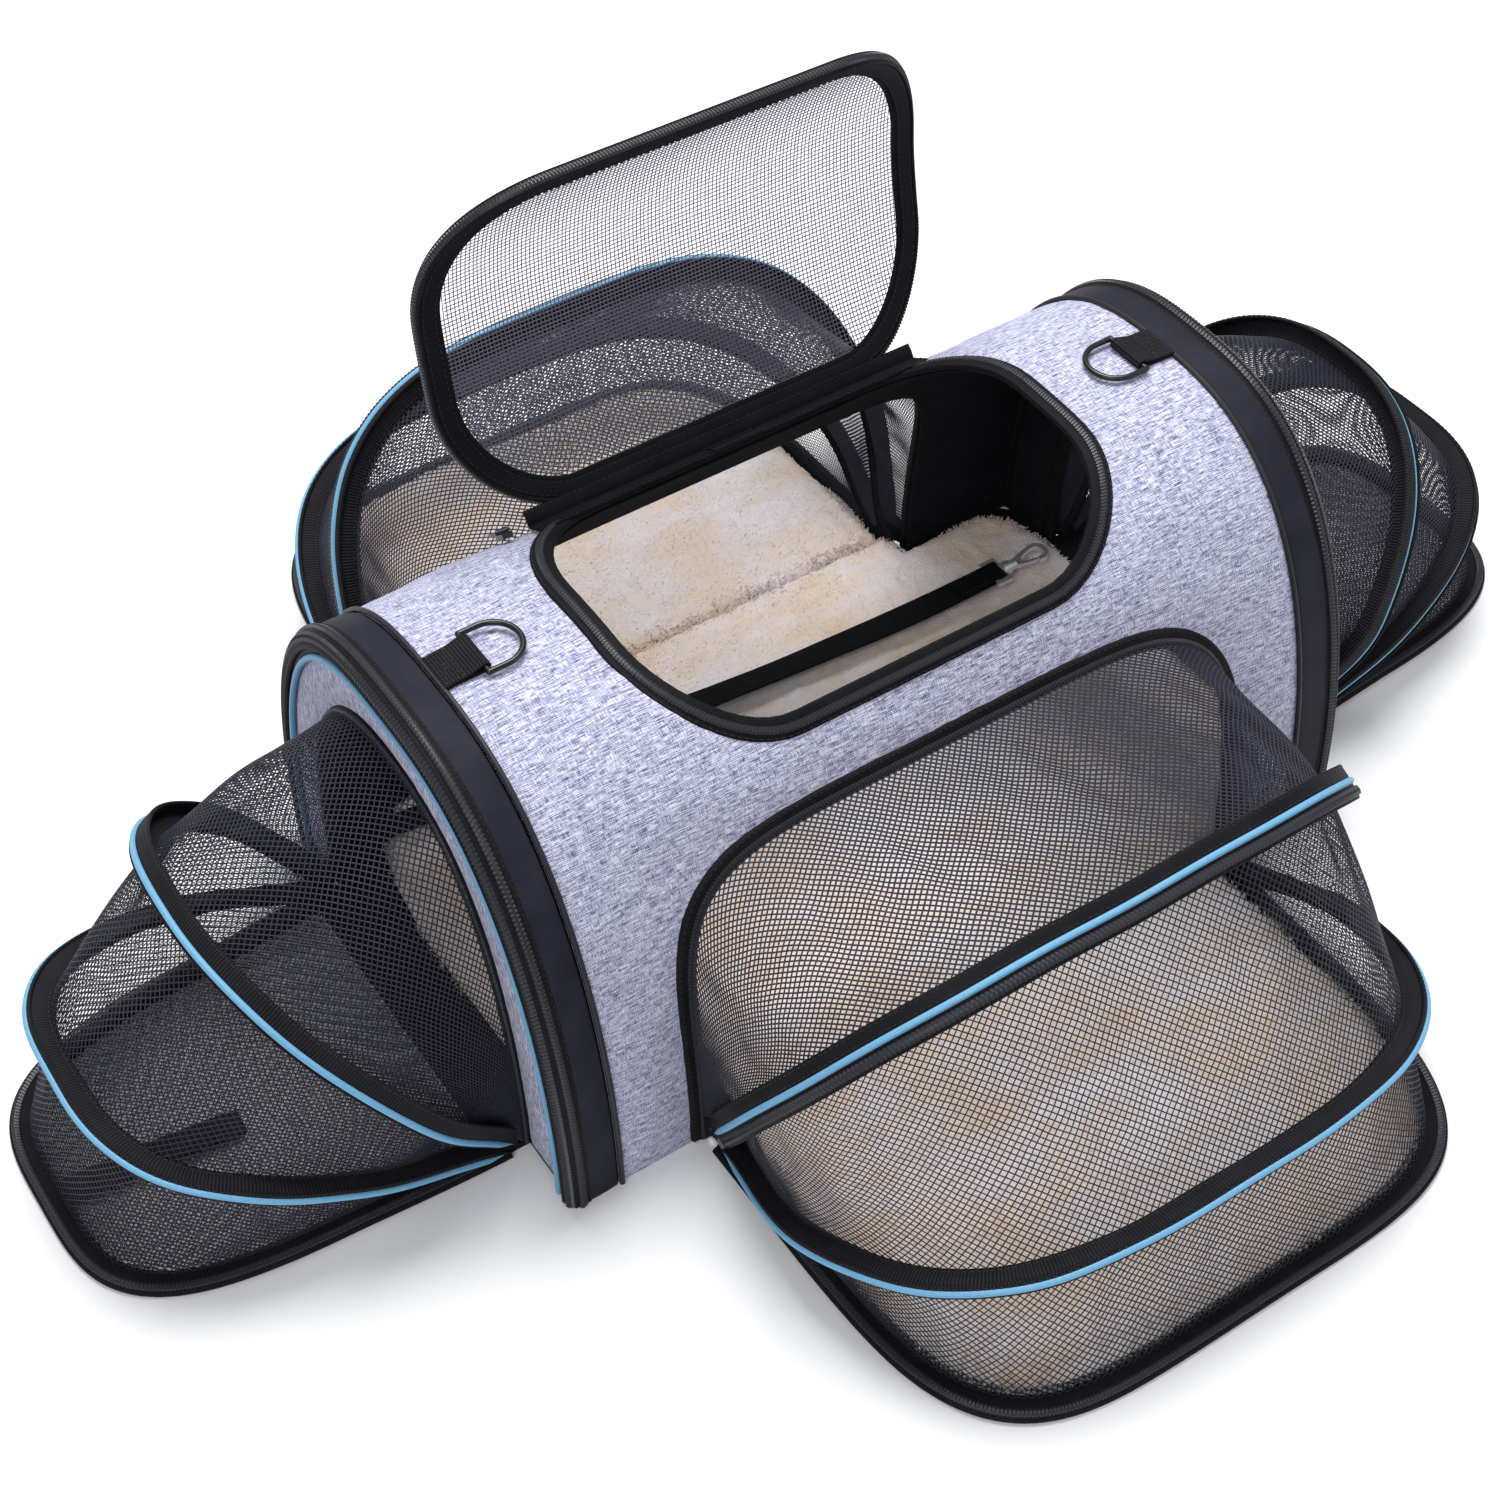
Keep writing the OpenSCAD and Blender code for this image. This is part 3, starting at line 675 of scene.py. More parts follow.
def pushed(V, amount, size, seed):
    """Slight unevenness of a soft piece."""
    w = waves(V[:, 0] + V[:, 2] * 0.7, V[:, 1] - V[:, 2] * 0.6, seed, size)
    d = np.stack([waves(V[:, 0], V[:, 1] + V[:, 2], seed + k, size) for k in (1, 2)], -1)
    return V + np.stack([d[:, 0], d[:, 1], w], -1) * amount


# ------------------------------------------------------------------ tether
route = np.array([[-219, 100, 21], [-205, 100, 21.5], [-190, 99.6, 20.6], [-175, 99, 20], [-160, 98.2, 20],
                  [-145, 97.2, 20], [-130, 96.2, 20], [-115, 95.2, 20.2], [-100, 94.2, 20.2], [-85, 93, 20],
                  [-70, 91.6, 20], [-55, 90.2, 20], [-40, 88.8, 20.2], [-25, 87.4, 20.2], [-10, 86, 20],
                  [5, 84.6, 20], [20, 83.2, 20], [35, 82, 20], [50, 80.8, 20.2], [65, 79.8, 20.4],
                  [80, 78.8, 20.4], [95, 77.9, 20.4], [110, 77.1, 20.6], [125, 76.5, 20.8], [140, 76, 21.2],
                  [155, 75.7, 21.7], [174, 75.5, 22]], float)
up = np.array([0, 0, 1.0])
(tp, tn), tt, t_len = resample(route, 2.5, False, (up,))
tn = unit(tn + np.stack([0 * tt, 0.10 * np.sin(tt / 31), 0 * tt], -1))
strap = sweep(tp, tn, pill(-7.5, 7.5, -0.85, 0.85, 0.7, 0.1), t=tt)
tether = group("tether_strap_woven", [(*strap, 0)], [M_TETHER])
ride(tether, "carrier", ["tether_strap"])
# strap doubled back round the bar of the swivel loop, with a stitched box
a_ = np.linspace(-90, 90, 12)
lp = np.array([[150, 0.4, -1.2], [165, 0.2, -1.2], [176, 0, -1.9]] + [[178.2 + 1.6 * math.cos(rad(a)), 0, 2.0 * math.sin(rad(a))] for a in a_] + [[172, 0, 1.9], [160, 0.1, 1.4], [148, 0.3, 1.3]])
lp = lp + [0, 75.5, 21.8]
(lq, ln), lt, _ = resample(lp, 1.2, False, (up,))
T_ = unit(np.gradient(lq, axis=0))
ln = np.cross(T_, [0, -1.0, 0])
fold = sweep(lq, ln, pill(-6.6, 6.6, -0.5, 0.5, 0.45), t=lt)
box_s = []
for b_ in (-5.2, 5.2):
    box_s.append((*stitch_line(np.array([[149, 75.7, 23.6], [165, 75.6, 23.9]], float), up, b_, 0.15, 1.8, 0.8, 0.28), 1))
ride(group("tether_end_fold", [(*fold, 0)] + box_s, [M_TETHER, M_THREAD]), "carrier")
pv = np.array([[-224.9, 100, z] for z in np.linspace(14.6, 38.6, 14)])
patch = [(*sweep(pv, np.array([[1.0, 0, 0]] * len(pv)), pill(-10, 10, -0.8, 0.9, 0.7)), 0)]
sv = np.array([[x, 100, 21] for x in np.linspace(-224.4, -218.6, 5)])
patch.append((*sweep(sv, np.array([up] * len(sv)), pill(-8.2, 8.2, -2.2, 2.2, 1.4)), 0))
for z0, z1, y0, y1 in ((17, 36, 92.5, 92.5), (17, 36, 107.5, 107.5), (36, 36, 93, 107), (28, 28, 93, 107), (28, 36, 93, 107), (36, 28, 93, 107)):
    ln_ = np.array([[-224, y0, z0], [-224, y1, z1]], float)
    patch.append((*stitch_line(ln_, np.array([1.0, 0, 0]), 0, 0.1, 1.8, 0.9, 0.28), 1))
ride(group("tether_anchor_patch", patch, [M_WEB, M_THREAD]), "carrier", ["tether_anchor"])


# ------------------------------------------------------------------ cabin
def side_line(g, n=72, d0=0.0):
    p = np.linspace(0, pi, n)
    q = u_pt((SW + g, SW + g, SH + g, 6.0), p)
    return np.stack(q, -1)


def side_xs(g, side, n=72):
    q = side_line(g, n)
    s = s_front(q[:, 1])
    return np.stack([q[:, 0], s if side == "front" else S_ALL - s], -1)


def cabin_outline(x, g=0.0):
    f, b = side_xs(g, "front"), side_xs(g, "back")
    return np.concatenate([[[-x, 0.0]], f, [[x, 0.0]], [[x, S_ALL]], b[::-1], [[-x, S_ALL]]])


def top_hole(g=0.0):
    r = round_rect(TX * -1 - g, TX + g, TY0 - g, TY1 + g, TR + g)
    return np.stack([r[:, 0], s_top(r[:, 1])], -1)


def cabin_sheet(x, step, o0, o1, puff, wave, pull, seed, g=0.0):
    v, f, d = flat_mesh(cabin_outline(x, g), [top_hole(g)], step)
    edge = np.minimum(np.abs(v[:, 1]), np.abs(S_ALL - v[:, 1]))
    swell = puff * (1 - np.exp(-np.minimum(d, edge) / 9.0))
    big = wave * waves(v[:, 0], v[:, 1], seed, 150) * (1 - np.exp(-d / 16.0))
    mid = 0.35 * wave * waves(v[:, 0], v[:, 1], seed + 1, 55) * (1 - np.exp(-d / 12.0))
    tug = pull * waves(v[:, 0] * 3, v[:, 1] * 3, seed + 2, 60) * np.exp(-d / 9.0) * (1 - np.exp(-d / 2.5))
    o = o0 + swell + big + mid + tug
    top, _ = arch(v[:, 0], v[:, 1], o)
    bot, _ = arch(v[:, 0], v[:, 1], o1 + 0.4 * (big + mid))
    return slab(v, f, top, bot), len(f)


(sv_, nf_) = cabin_sheet(XB - 0.4, 5.0, -0.7, -2.6, 1.5, 1.5, 0.8, 11)
n_rim = len(sv_[1][1])
shell = make("shell_fabric", sv_[0], sv_[1], [M_LINEN, M_BLACK], sv_[2], np.concatenate([np.zeros(nf_), np.ones(nf_), np.ones(n_rim)]), 50)
ride(shell, "carrier", ["shell"])
(sv_, nf_) = cabin_sheet(XE - 4, 9.0, -3.1, -4.0, 0.0, 0.5, 0.2, 31)
sv_[0][:, 2] = np.maximum(sv_[0][:, 2], BASE + 0.1)
ride(make("lining_fabric", sv_[0], sv_[1], [M_BLACK], sv_[2], None, 50), "carrier", ["lining"])

s_line = np.linspace(0.8, S_ALL - 0.8, 190)
for sg in (-1, 1):
    nm = "left" if sg < 0 else "right"
    o = -1.2 + 0.25 * waves(s_line, 0 * s_line, 41 + sg, 90)
    P, N = arch(np.full_like(s_line, sg * (XB + 12.1)), s_line, o)
    ride(group("band_%s_fabric" % nm, [(*sweep(P, N, pill(-11.8, 11.8, -1.7, 1.7, 1.4, 0.5)), 0)], [M_BAND]), "carrier", ["band_" + nm])

parts = []
for sg in (-1, 1):
    P, N = arch(np.full_like(s_line, sg * (XB - 1.4)), s_line, 0.75)
    parts.append((*sweep(P, N, circle(1.4, 10)), 0))
ride(group("seam_piping", parts, [M_PIPE, M_THREAD]), "carrier", ["seam_pipings"])

tape, blue = [], []
for sg in (-1, 1):
    ax = np.array([sg, 0.0, 0.0])
    P, N = arch(np.full_like(s_line, sg * (XE + 0.9)), s_line, -5.0)
    NN = np.tile(ax, (len(P), 1))
    Pz, _ = arch(np.full_like(s_line, sg * (XE + 0.3)), s_line, -3.2)
    Nz = unit(ax * 0.80 + N * 0.6)
    tape.append((*sweep(P, NN, pill(-4.8, 4.8, -0.9, 0.35, 0.5)), 0))
    tape.append((*sweep(Pz, Nz, pill(-5.6, 4.4, -1.5, 1.1, 0.9, 0.3) * [sg, 1] if sg > 0 else pill(-4.4, 5.6, -1.5, 1.1, 0.9, 0.3)), 0))
    tape.append((*coil(Pz, Nz, sg * -0.9, 1.2, False, 5.6, 2.0, 2.2), 1))
    tape.append((*stitch_line(Pz, Nz, sg * 2.9, 1.15, 2.2, 1.1, 0.22), 2))
    Pw, Nw = arch(np.full_like(s_line, sg * (XE - 4.4)), s_line, 0.1)
    tape.append((*sweep(Pw, Nw, pill(-4.6, 4.6, -1.2, 1.0, 0.8, 0.25)), 0))
    tape.append((*coil(Pw, Nw, sg * 0.4, 1.05, False, 4.2, 1.7, 2.2), 1))
    tape.append((*stitch_line(Pw, Nw, sg * -3.6, 1.05, 2.2, 1.1, 0.22), 2))
    P2, _ = arch(np.full_like(s_line, sg * (XE + 1.7)), s_line, -11.3)
    blue.append((*sweep(P2, NN, circle(1.65, 10)), 0))
ride(group("end_zip", tape, [M_TAPE, M_COIL, M_THREAD]), "carrier", ["end_zippers"])
ride(group("end_piping_blue", blue, [M_BLUE]), "carrier", ["end_pipings"])


def end_line(g, n=64):
    p = np.linspace(0, pi, n)
    return np.stack(u_pt((EW + g, EW + g, EH + g, 2.5), p), -1)


for sg in (-1, 1):
    nm = "left" if sg < 0 else "right"
    A, _ = arch(0 * s_line, s_line, -10.0)
    A = A[::2, 1:]
    keep = A[:, 1] > BASE + 0.3
    A = A[keep]
    hole = end_line(-2.0)
    hole = hole[hole[:, 1] > BASE + 0.3]
    z0 = BASE + 0.2
    outer = np.concatenate([[[A[0, 0], z0]], A, [[A[-1, 0], z0]], [[hole[-1, 0], z0]], hole[::-1], [[hole[0, 0], z0]]])
    v, f, d = flat_mesh(outer, [], 5.0)
    o = 0.9 * (1 - np.exp(-d / 5.0)) + 0.6 * waves(v[:, 0], v[:, 1], 51 + sg, 60) * (1 - np.exp(-d / 6.0))
    top = np.stack([sg * (XE - 0.4 + o), v[:, 0], v[:, 1]], -1)
    bot = np.stack([np.full(len(v), sg * (XE - 2.9)), v[:, 0], v[:, 1]], -1)
    V, F, U = slab(v, f, top, bot)
    U = U[:, ::-1]
    ix = np.concatenate([np.zeros(len(f)), np.ones(len(f)), np.ones(len(F[1]))])
    ride(make("end_panel_%s_fabric" % nm, V, F, [M_LINEN, M_BLACK], U, ix, 50), "carrier", ["end_panel_" + nm])

parts = []
for sg in (-1, 1):
    q = end_line(-4.0, 110)
    q = q[q[:, 1] > BASE + 0.6]
    P = np.stack([np.full(len(q), sg * (XE + 0.4)), q[:, 0], q[:, 1]], -1)
    NN = np.tile(np.array([sg, 0.0, 0.0]), (len(P), 1))
    parts.append((*sweep(P, NN, pill(-4.6, 4.6, -3.4, 1.2, 1.2, 0.3)), 0))
    parts.append((*coil(P, NN, sg * -2.2, 1.15), 1))
    parts.append((*stitch_line(P, NN, sg * 3.2, 1.3, 2.2, 1.1, 0.22), 2))
ride(group("end_opening_binding", parts, [M_BIND, M_COIL, M_THREAD]), "carrier", ["end_bindings"])

for side in ("front", "back"):
    q = side_xs(3.0, side, 150)
    q = q[(q[:, 1] > 1.5) & (q[:, 1] < S_ALL - 1.5)]
    P, N = arch(q[:, 0], q[:, 1], 0.8)
    sgn = 1 if side == "front" else -1
    parts = [(*sweep(P, N, pill(-5, 5, -2.6, 1.4, 1.3, 0.4)), 0),
             (*coil(P, N, sgn * 1.4, 1.35), 1),
             (*stitch_line(P, N, sgn * -3.7, 1.5, 2.2, 1.1, 0.22), 2)]
    ride(group("%s_opening_binding" % side, parts, [M_BIND, M_COIL, M_THREAD]), "carrier", [side + "_binding"])

r_ = dense(round_rect(-TX - 3, TX + 3, TY0 - 3, TY1 + 3, TR + 3), 5)
P, N = arch(r_[:, 0], s_top(r_[:, 1]), 0.2)
parts = [(*sweep(P, N, pill(-5.6, 5.6, -2.2, 1.15, 1.1, 0.3), True), 0),
         (*coil(P, N, 0.6, 1.1, True), 1),
         (*stitch_line(P, N, 4.4, 1.2, 2.2, 1.1, 0.22, True), 2)]
ride(group("top_opening_binding", parts, [M_BIND, M_COIL, M_THREAD]), "carrier", ["top_binding"])

# ------------------------------------------------------------------ tabs
for sg in (-1, 1):
    nm = "left" if sg < 0 else "right"
    a_ = np.linspace(-80, 95, 22)
    pth = [[204.6, 222.5], [200, 222.9], [190, 223.0]] + [[184 - 2.3 * math.cos(rad(a)) * 1.0, 225.4 + 2.3 * math.sin(rad(a))] for a in a_] + [[188, 226.4], [192, 225.0], [198, 224.6], [204.4, 223.9]]
    pth = np.array(pth)
    P = np.stack([sg * pth[:, 0], 0 * pth[:, 0], pth[:, 1]], -1)
    (P, _), t, _ = resample(P, 0.9, False, (up,))
    T = unit(np.gradient(P, axis=0))
    N = np.cross(T, [0, 1.0, 0])
    sec = pill(-11, 11, -0.62, 0.62, 0.55)
    parts = [(*sweep(P, N, sec, t=t), 0)]
    for x0, x1, y0, y1 in ((202.6, 202.6, -9.5, 9.5), (194, 194, -9.5, 9.5), (194, 202.6, -9.5, -9.5), (194, 202.6, 9.5, 9.5), (194, 202.6, -9.5, 9.5), (194, 202.6, 9.5, -9.5)):
        z_ = lambda x: np.interp(x, [192, 198, 204.4], [225.0, 224.6, 223.9]) + 0.7
        ln_ = np.array([[sg * x0, y0, z_(x0)], [sg * x1, y1, z_(x1)]], float)
        parts.append((*stitch_line(ln_, up, 0, 0.05, 1.9, 0.9, 0.3), 1))
    ride(group("tab_%s_webbing" % nm, parts, [M_WEB, M_THREAD]), "carrier", ["tab_" + nm])


# ------------------------------------------------------------------ fleece
def fleece(name, outer, z0, z1, seed, blades, body, node_, seam=None, edge=9.0):
    r = np.random.default_rng(seed)
    v, f, d = flat_mesh(outer, [], 2.7)
    h = z1 - z0
    k = np.clip(d / edge, 0, 1)
    prof = np.sqrt(np.clip(1 - (1 - k) ** 2, 0, 1))
    lump = 0.9 * waves(v[:, 0], v[:, 1], seed + 1, 46) + 0.55 * waves(v[:, 0], v[:, 1], seed + 2, 17)
    tuft = 0.5 * waves(v[:, 0], v[:, 1], seed + 3, 7.5, 9)
    low = (0.35 + 0.65 * prof)
    z = z0 + (h - 3.0) * prof * 0.9 + 0.9 + (lump + tuft) * low
    if seam is not None:
        z -= 3.2 * np.exp(-((v[:, 1] - seam) / 4.5) ** 2)
    z = np.clip(z, z0 + 0.4, z1 - 0.2)
    top = np.stack([v[:, 0], v[:, 1], z], -1)
    bot = np.stack([v[:, 0], v[:, 1], np.full(len(v), z0)], -1)
    V, F, U = slab(v, f, top, bot)
    parts = [(V, F, U, 0)]
    # short tufts laid over in slow swirls, longer and lower towards the edges
    dist = d[f].mean(1)
    wt = 0.35 + 2.2 * np.exp(-dist / 4.0)
    area = r.choice(len(f), blades, p=wt / wt.sum())
    u1, u2 = r.random(blades), r.random(blades)
    fl = u1 + u2 > 1
    u1[fl], u2[fl] = 1 - u1[fl], 1 - u2[fl]
    tri = top[f[area]]
    base = tri[:, 0] + (tri[:, 1] - tri[:, 0]) * u1[:, None] + (tri[:, 2] - tri[:, 0]) * u2[:, None]
    dd = d[f[area]].mean(1)
    ang = 2.2 * waves(base[:, 0], base[:, 1], seed + 4, 70) + r.normal(0, 0.6, blades)
    lean = np.clip(r.normal(0.72, 0.14, blades), 0.2, 0.95)
    rim = np.clip(1 - dd / 9.0, 0, 1)
    ln = r.uniform(2.2, 3.6, blades) + 2.6 * rim
    wd = r.uniform(0.22, 0.4, blades) + 0.15 * rim
    g = np.stack([np.cos(ang), np.sin(ang), 0 * ang], -1)
    sd = np.stack([-g[:, 1], g[:, 0], 0 * ang], -1)
    upv = np.array([0, 0, 1.0])
    dirn = unit(g * lean[:, None] + upv * (1.05 - lean[:, None]))
    mid = base + dirn * (ln * 0.5)[:, None] - upv * 0.3
    tip = base + (g * lean[:, None] + upv * (0.8 - lean[:, None])) * ln[:, None] * 0.95
    zt = np.where(tip[:, 2] > z1 + 1.6, z1 + 1.6, np.maximum(tip[:, 2], z0 + 0.6))
    tip[:, 2] = zt
    base = base - upv * 0.8
    nn = unit(np.cross(sd, dirn))
    rows = [base + sd * wd[:, None], base - sd * wd[:, None], base + nn * wd[:, None] * 0.7,
            mid + sd * (wd * 0.75)[:, None], mid - sd * (wd * 0.75)[:, None], mid + nn * (wd * 0.55)[:, None], tip]
    BV = np.stack(rows, 1).reshape(-1, 3)
    o = np.arange(blades)[:, None] * 7
    F4 = np.concatenate([o + np.array([[0, 1, 4, 3]]), o + np.array([[1, 2, 5, 4]]), o + np.array([[2, 0, 3, 5]])])
    F3 = np.concatenate([o + np.array([[0, 2, 1]]), o + np.array([[3, 4, 6]]), o + np.array([[4, 5, 6]]), o + np.array([[5, 3, 6]])])
    parts.append((BV, [F3, F4], np.zeros((len(BV), 2)), 0))
    ob = group(name, parts, [M_PLUSH], 180)
    ride(ob, body, [node_])
    if body != "carrier":
        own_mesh(ob)
    return ob


q_ = [[-212, 40], [-208, 74], [-199, 102], [-184, 120], [-152, 130], [-150, 147.5]]
qr_ = [[-227, 60], [-225, 100], [-219, 120], [-206, 129], [-152, 131], [-150, 147.5]]
body_out = [[x, -y] for x, y in q_] + [[-x, -y] for x, y in qr_[::-1]] + [[-x, y] for x, y in qr_] + [[x, y] for x, y in q_[::-1]]
fleece("cabin_fleece", np.array(body_out, float), 4.4, 14.0, 61, 19000, "carrier", "body_fleece")
room_u = np.stack(u_pt((147.0, 147.0, 194.5, 5.0), np.linspace(0, pi, 50)), -1)
room_u = room_u[room_u[:, 1] > 2.4]
room_o = np.concatenate([[[-147, -0.6]], room_u, [[147, -0.6]]])
for side in ("back", "front"):
    pts = turned(side, np.stack([room_o[:, 0], room_o[:, 1] + SIDE_AX, 0 * room_o[:, 0]], -1))[:, :2]
    fleece("%s_room_fleece" % side, pts, 4.5, 14.0, 71 if side == "back" else 81, 12000, side + "_floor", side + "_fleece")

# ------------------------------------------------------------------ lid
_ca, _sa = math.cos(rad(-LID_A)), math.sin(rad(-LID_A))


def lid_pose(P):
    P = np.asarray(P, float)
    y, z = P[..., 1] - LID_Y, P[..., 2] - LID_Z
    return np.stack([P[..., 0], LID_Y + y * _ca - z * _sa, LID_Z + y * _sa + z * _ca], -1)


def lid_out(g, n=22):
    return round_rect(-TX - 9 - g, TX + 9 + g, TY0 - 7 - g, TY1 + 2.4 + g, TR + 4 + g, n)


def posed(part):
    return (lid_pose(part[0]), part[1], part[2])


r_ = dense(lid_out(-6.8), 4)
sr = s_top(r_[:, 1])
P, N = arch(r_[:, 0], sr, 4.8)
parts = [(*posed(sweep(P, N, pill(-3.6, 6.0, -1.7, 2.6, 2.0, 0.5), True)), 0)]
parts.append((*posed(sweep(P, N, pill(-5.4, -3.0, -0.8, 0.8, 0.7), True)), 0))
Tl, Bl, Nl = frames(P, N, True)
Po = P + Bl * 6.0
parts.append((*posed(sweep(Po, Bl, pill(-4.8, 2.0, -0.6, 1.1, 0.8, 0.2), True)), 2))
parts.append((*posed(coil(Po, Bl, -1.4, 1.0, True, 4.4, 1.5)), 1))
for s_, N_, u_ in ((-1.6, 1, 2.9), (4.2, 1, 2.7), (2.2, -1, 1.75), (-4.2, -1, 1.75)):
    parts.append((*posed(stitch_line(P, N * N_, s_, u_, 2.2, 1.1, 0.24, True)), 3))
ride(group("lid_binding", parts, [M_BIND, M_COIL, M_TAPE, M_THREAD]), "lid", ["lid_frame"])


def tubes(path_list, normals, r, sides=3):
    """Threads: closed slender prisms along polylines."""
    V, Q, Tn, k = [], [], [], 0
    a = np.arange(sides) * 2 * pi / sides + 0.5
    for Pq, Nq in zip(path_list, normals):
        n = len(Pq)
        if n < 2:
            continue
        T, B, N2 = frames(Pq, Nq)
        ring = B[:, None] * np.cos(a)[None, :, None] + N2[:, None] * np.sin(a)[None, :, None]
        V.append((Pq[:, None] + ring * r).reshape(-1, 3))
        i = np.arange(n - 1)[:, None] * sides
        j = np.arange(sides)[None]
        j2 = (j + 1) % sides
        Q.append(np.stack(np.broadcast_arrays(k + i + j, k + i + sides + j, k + i + sides + j2, k + i + j2), -1).reshape(-1, 4))
        Tn.append(np.array([np.arange(sides)[::-1], (n - 1) * sides + np.arange(sides)]) + k)
        k += n * sides
    return np.concatenate(V), [np.concatenate(Tn), np.concatenate(Q)]


def square_net(outer, pitch, step, place, r, jitter=0.12, seed=5, diag=False):
    """A net over a flat outline, put in place by place(xy) -> points, normals."""
    rr = np.random.default_rng(seed)
    poly = np.asarray(outer, float)
    if diag:
        c = math.sqrt(0.5)
        poly = np.stack([(poly[:, 0] + poly[:, 1]) * c, (poly[:, 1] - poly[:, 0]) * c], -1)
    lo, hi = poly.min(0), poly.max(0)
    paths, norms = [], []
    for ax in (0, 1):
        for c0 in np.arange(lo[ax] + pitch / 2, hi[ax], pitch):
            t = np.arange(lo[1 - ax], hi[1 - ax] + step, step)
            q = np.stack([np.full_like(t, c0), t], -1)
            if ax == 1:
                q = q[:, ::-1]
            ok = inside(q, poly)
            edges = np.flatnonzero(np.diff(np.concatenate([[0], ok.astype(int), [0]])))
            for a, b in zip(edges[::2], edges[1::2]):
                if b - a < 2:
                    continue
                s = q[a:b].copy()
                s[:, ax] += jitter * np.sin(t[a:b] / 17 + rr.uniform(0, 6))
                if diag:
                    c = math.sqrt(0.5)
                    s = np.stack([(s[:, 0] - s[:, 1]) * c, (s[:, 0] + s[:, 1]) * c], -1)
                Pp, Nn = place(s)
                paths.append(Pp)
                norms.append(Nn)
    return tubes(paths, norms, r)


lid_in = lid_out(-10.2, 16)
lo_s = np.stack([lid_in[:, 0], s_top(lid_in[:, 1])], -1)


def lid_place(q):
    sag = 0.5 * waves(q[:, 0], q[:, 1], 91, 90)
    P, N = arch(q[:, 0], q[:, 1], 4.8 + sag)
    return lid_pose(P), N


V, F = square_net(lo_s, 2.1, 4.0, lid_place, 0.31)
lm = make("lid_net", V, F, [M_LIDNET], closed=False, smooth=0)
ride(lm, "lid", ["lid_mesh"])
_x, _y = lo_s[:, 0], lo_s[:, 1]

# double fabric band of the hinge, from the cabin's binding up the lid
hy = np.array([[66.5, float(zs(66.5)) + 2.3], [72, float(zs(72)) + 2.4], [76.4, float(zs(76.4)) + 2.7], [78.8, LID_Z + 0.9]])
inner_up = lid_pose(np.array([[0, 75.0, float(zs(75.0)) + 1.2], [0, 71.5, float(zs(71.5)) + 1.1]]))[:, 1:]
hp = np.concatenate([hy, inner_up])
nx = 75
xs_ = np.linspace(-112, 112, nx)
(hq, _), ht, hl = resample(np.stack([0 * hp[:, 0], hp[:, 0], hp[:, 1]], -1), 1.1, False, (up,))
T = unit(np.gradient(hq, axis=0))
hn = np.cross([-1.0, 0, 0], T)
if hn[0][2] < 0:
    hn = -hn
G = hq[None] + np.stack([xs_, 0 * xs_, 0 * xs_], -1)[:, None]
wv = 0.35 * waves(xs_[:, None] * np.ones(len(hq))[None], np.ones(nx)[:, None] * ht[None], 95, 34)
G = G + hn[None] * wv[..., None]
m_ = len(hq)
ii, jj = np.meshgrid(np.arange(nx - 1), np.arange(m_ - 1), indexing="ij")
q_ = np.stack([ii * m_ + jj, (ii + 1) * m_ + jj, (ii + 1) * m_ + jj + 1, ii * m_ + jj + 1], -1).reshape(-1, 4)
tri = np.concatenate([q_[:, [0, 1, 2]], q_[:, [0, 2, 3]]])
flat_ = np.stack(np.broadcast_arrays(xs_[:, None], ht[None]), -1).reshape(-1, 2)
nn_ = np.broadcast_to(hn[None], G.shape).reshape(-1, 3)
V, F, U = slab(flat_, tri, G.reshape(-1, 3) + nn_ * 0.5, G.reshape(-1, 3) - nn_ * 0.4)
hp_parts = [(V, F, U[:, ::-1], 0)]
for tq in (1.6, 6.4, hl - 1.6):
    k = int(np.argmin(np.abs(ht - tq)))
    line = np.stack([np.linspace(-110.5, 110.5, 60), np.full(60, hq[k, 1]), np.full(60, hq[k, 2])], -1)
    hp_parts.append((*stitch_line(line, np.tile(hn[k], (60, 1)), 0, 0.75, 2.2, 1.1, 0.25), 1))
for tq in (4.0, 9.0):
    k = int(np.argmin(np.abs(ht - tq)))
    line = np.stack([np.linspace(-111, 111, 90), np.full(90, hq[k, 1]), np.full(90, hq[k, 2])], -1) + hn[k] * 0.6
    hp_parts.append((*sweep(line, np.tile(hn[k], (90, 1)), circle(1.0, 8)), 0))
k = int(np.argmin(np.abs(ht - 5.0)))
line = np.stack([np.linspace(-14, 12, 14), np.full(14, hq[k, 1]), np.full(14, hq[k, 2])], -1)
hp_parts.append((*sweep(line, np.tile(hn[k], (14, 1)), pill(-5.5, 5.5, 0.4, 1.9, 0.6)), 2))
for b_ in (-4.4, 4.4):
    hp_parts.append((*stitch_line(line, np.tile(hn[k], (14, 1)), b_, 1.9, 1.8, 0.8, 0.24), 1))
hinge = group("lid_hinge_band", hp_parts, [M_BIND, M_THREAD, M_TAPE], 60)
co = np.empty(len(hinge.data.vertices) * 3, np.float32)
hinge.data.vertices.foreach_get("co", co)
co = co.reshape(-1, 3) / MM
bend(hinge, ["lid_hinge_strip"])

# ------------------------------------------------------------------ rooms
ROOMS = {s: (SIDE_BOW, SIDE_BOW, SIDE_FL, A_SU, A_SL) for s in ("front", "back")}
ROOMS.update({s: (END_UP, END_LO, END_FL, A_EU, A_EL) for s in ("left", "right")})


def even_p(b, g, step, p0=0.0, p1=pi):
    p = np.linspace(p0, p1, 1500)
    x, d = u_pt(b, p, g)
    c = np.concatenate([[0], np.cumsum(np.hypot(np.diff(x), np.diff(d)))])
    n = max(2, int(round(c[-1] / step)))
    return np.interp(np.linspace(0, c[-1], n + 1), c, p), c[-1]


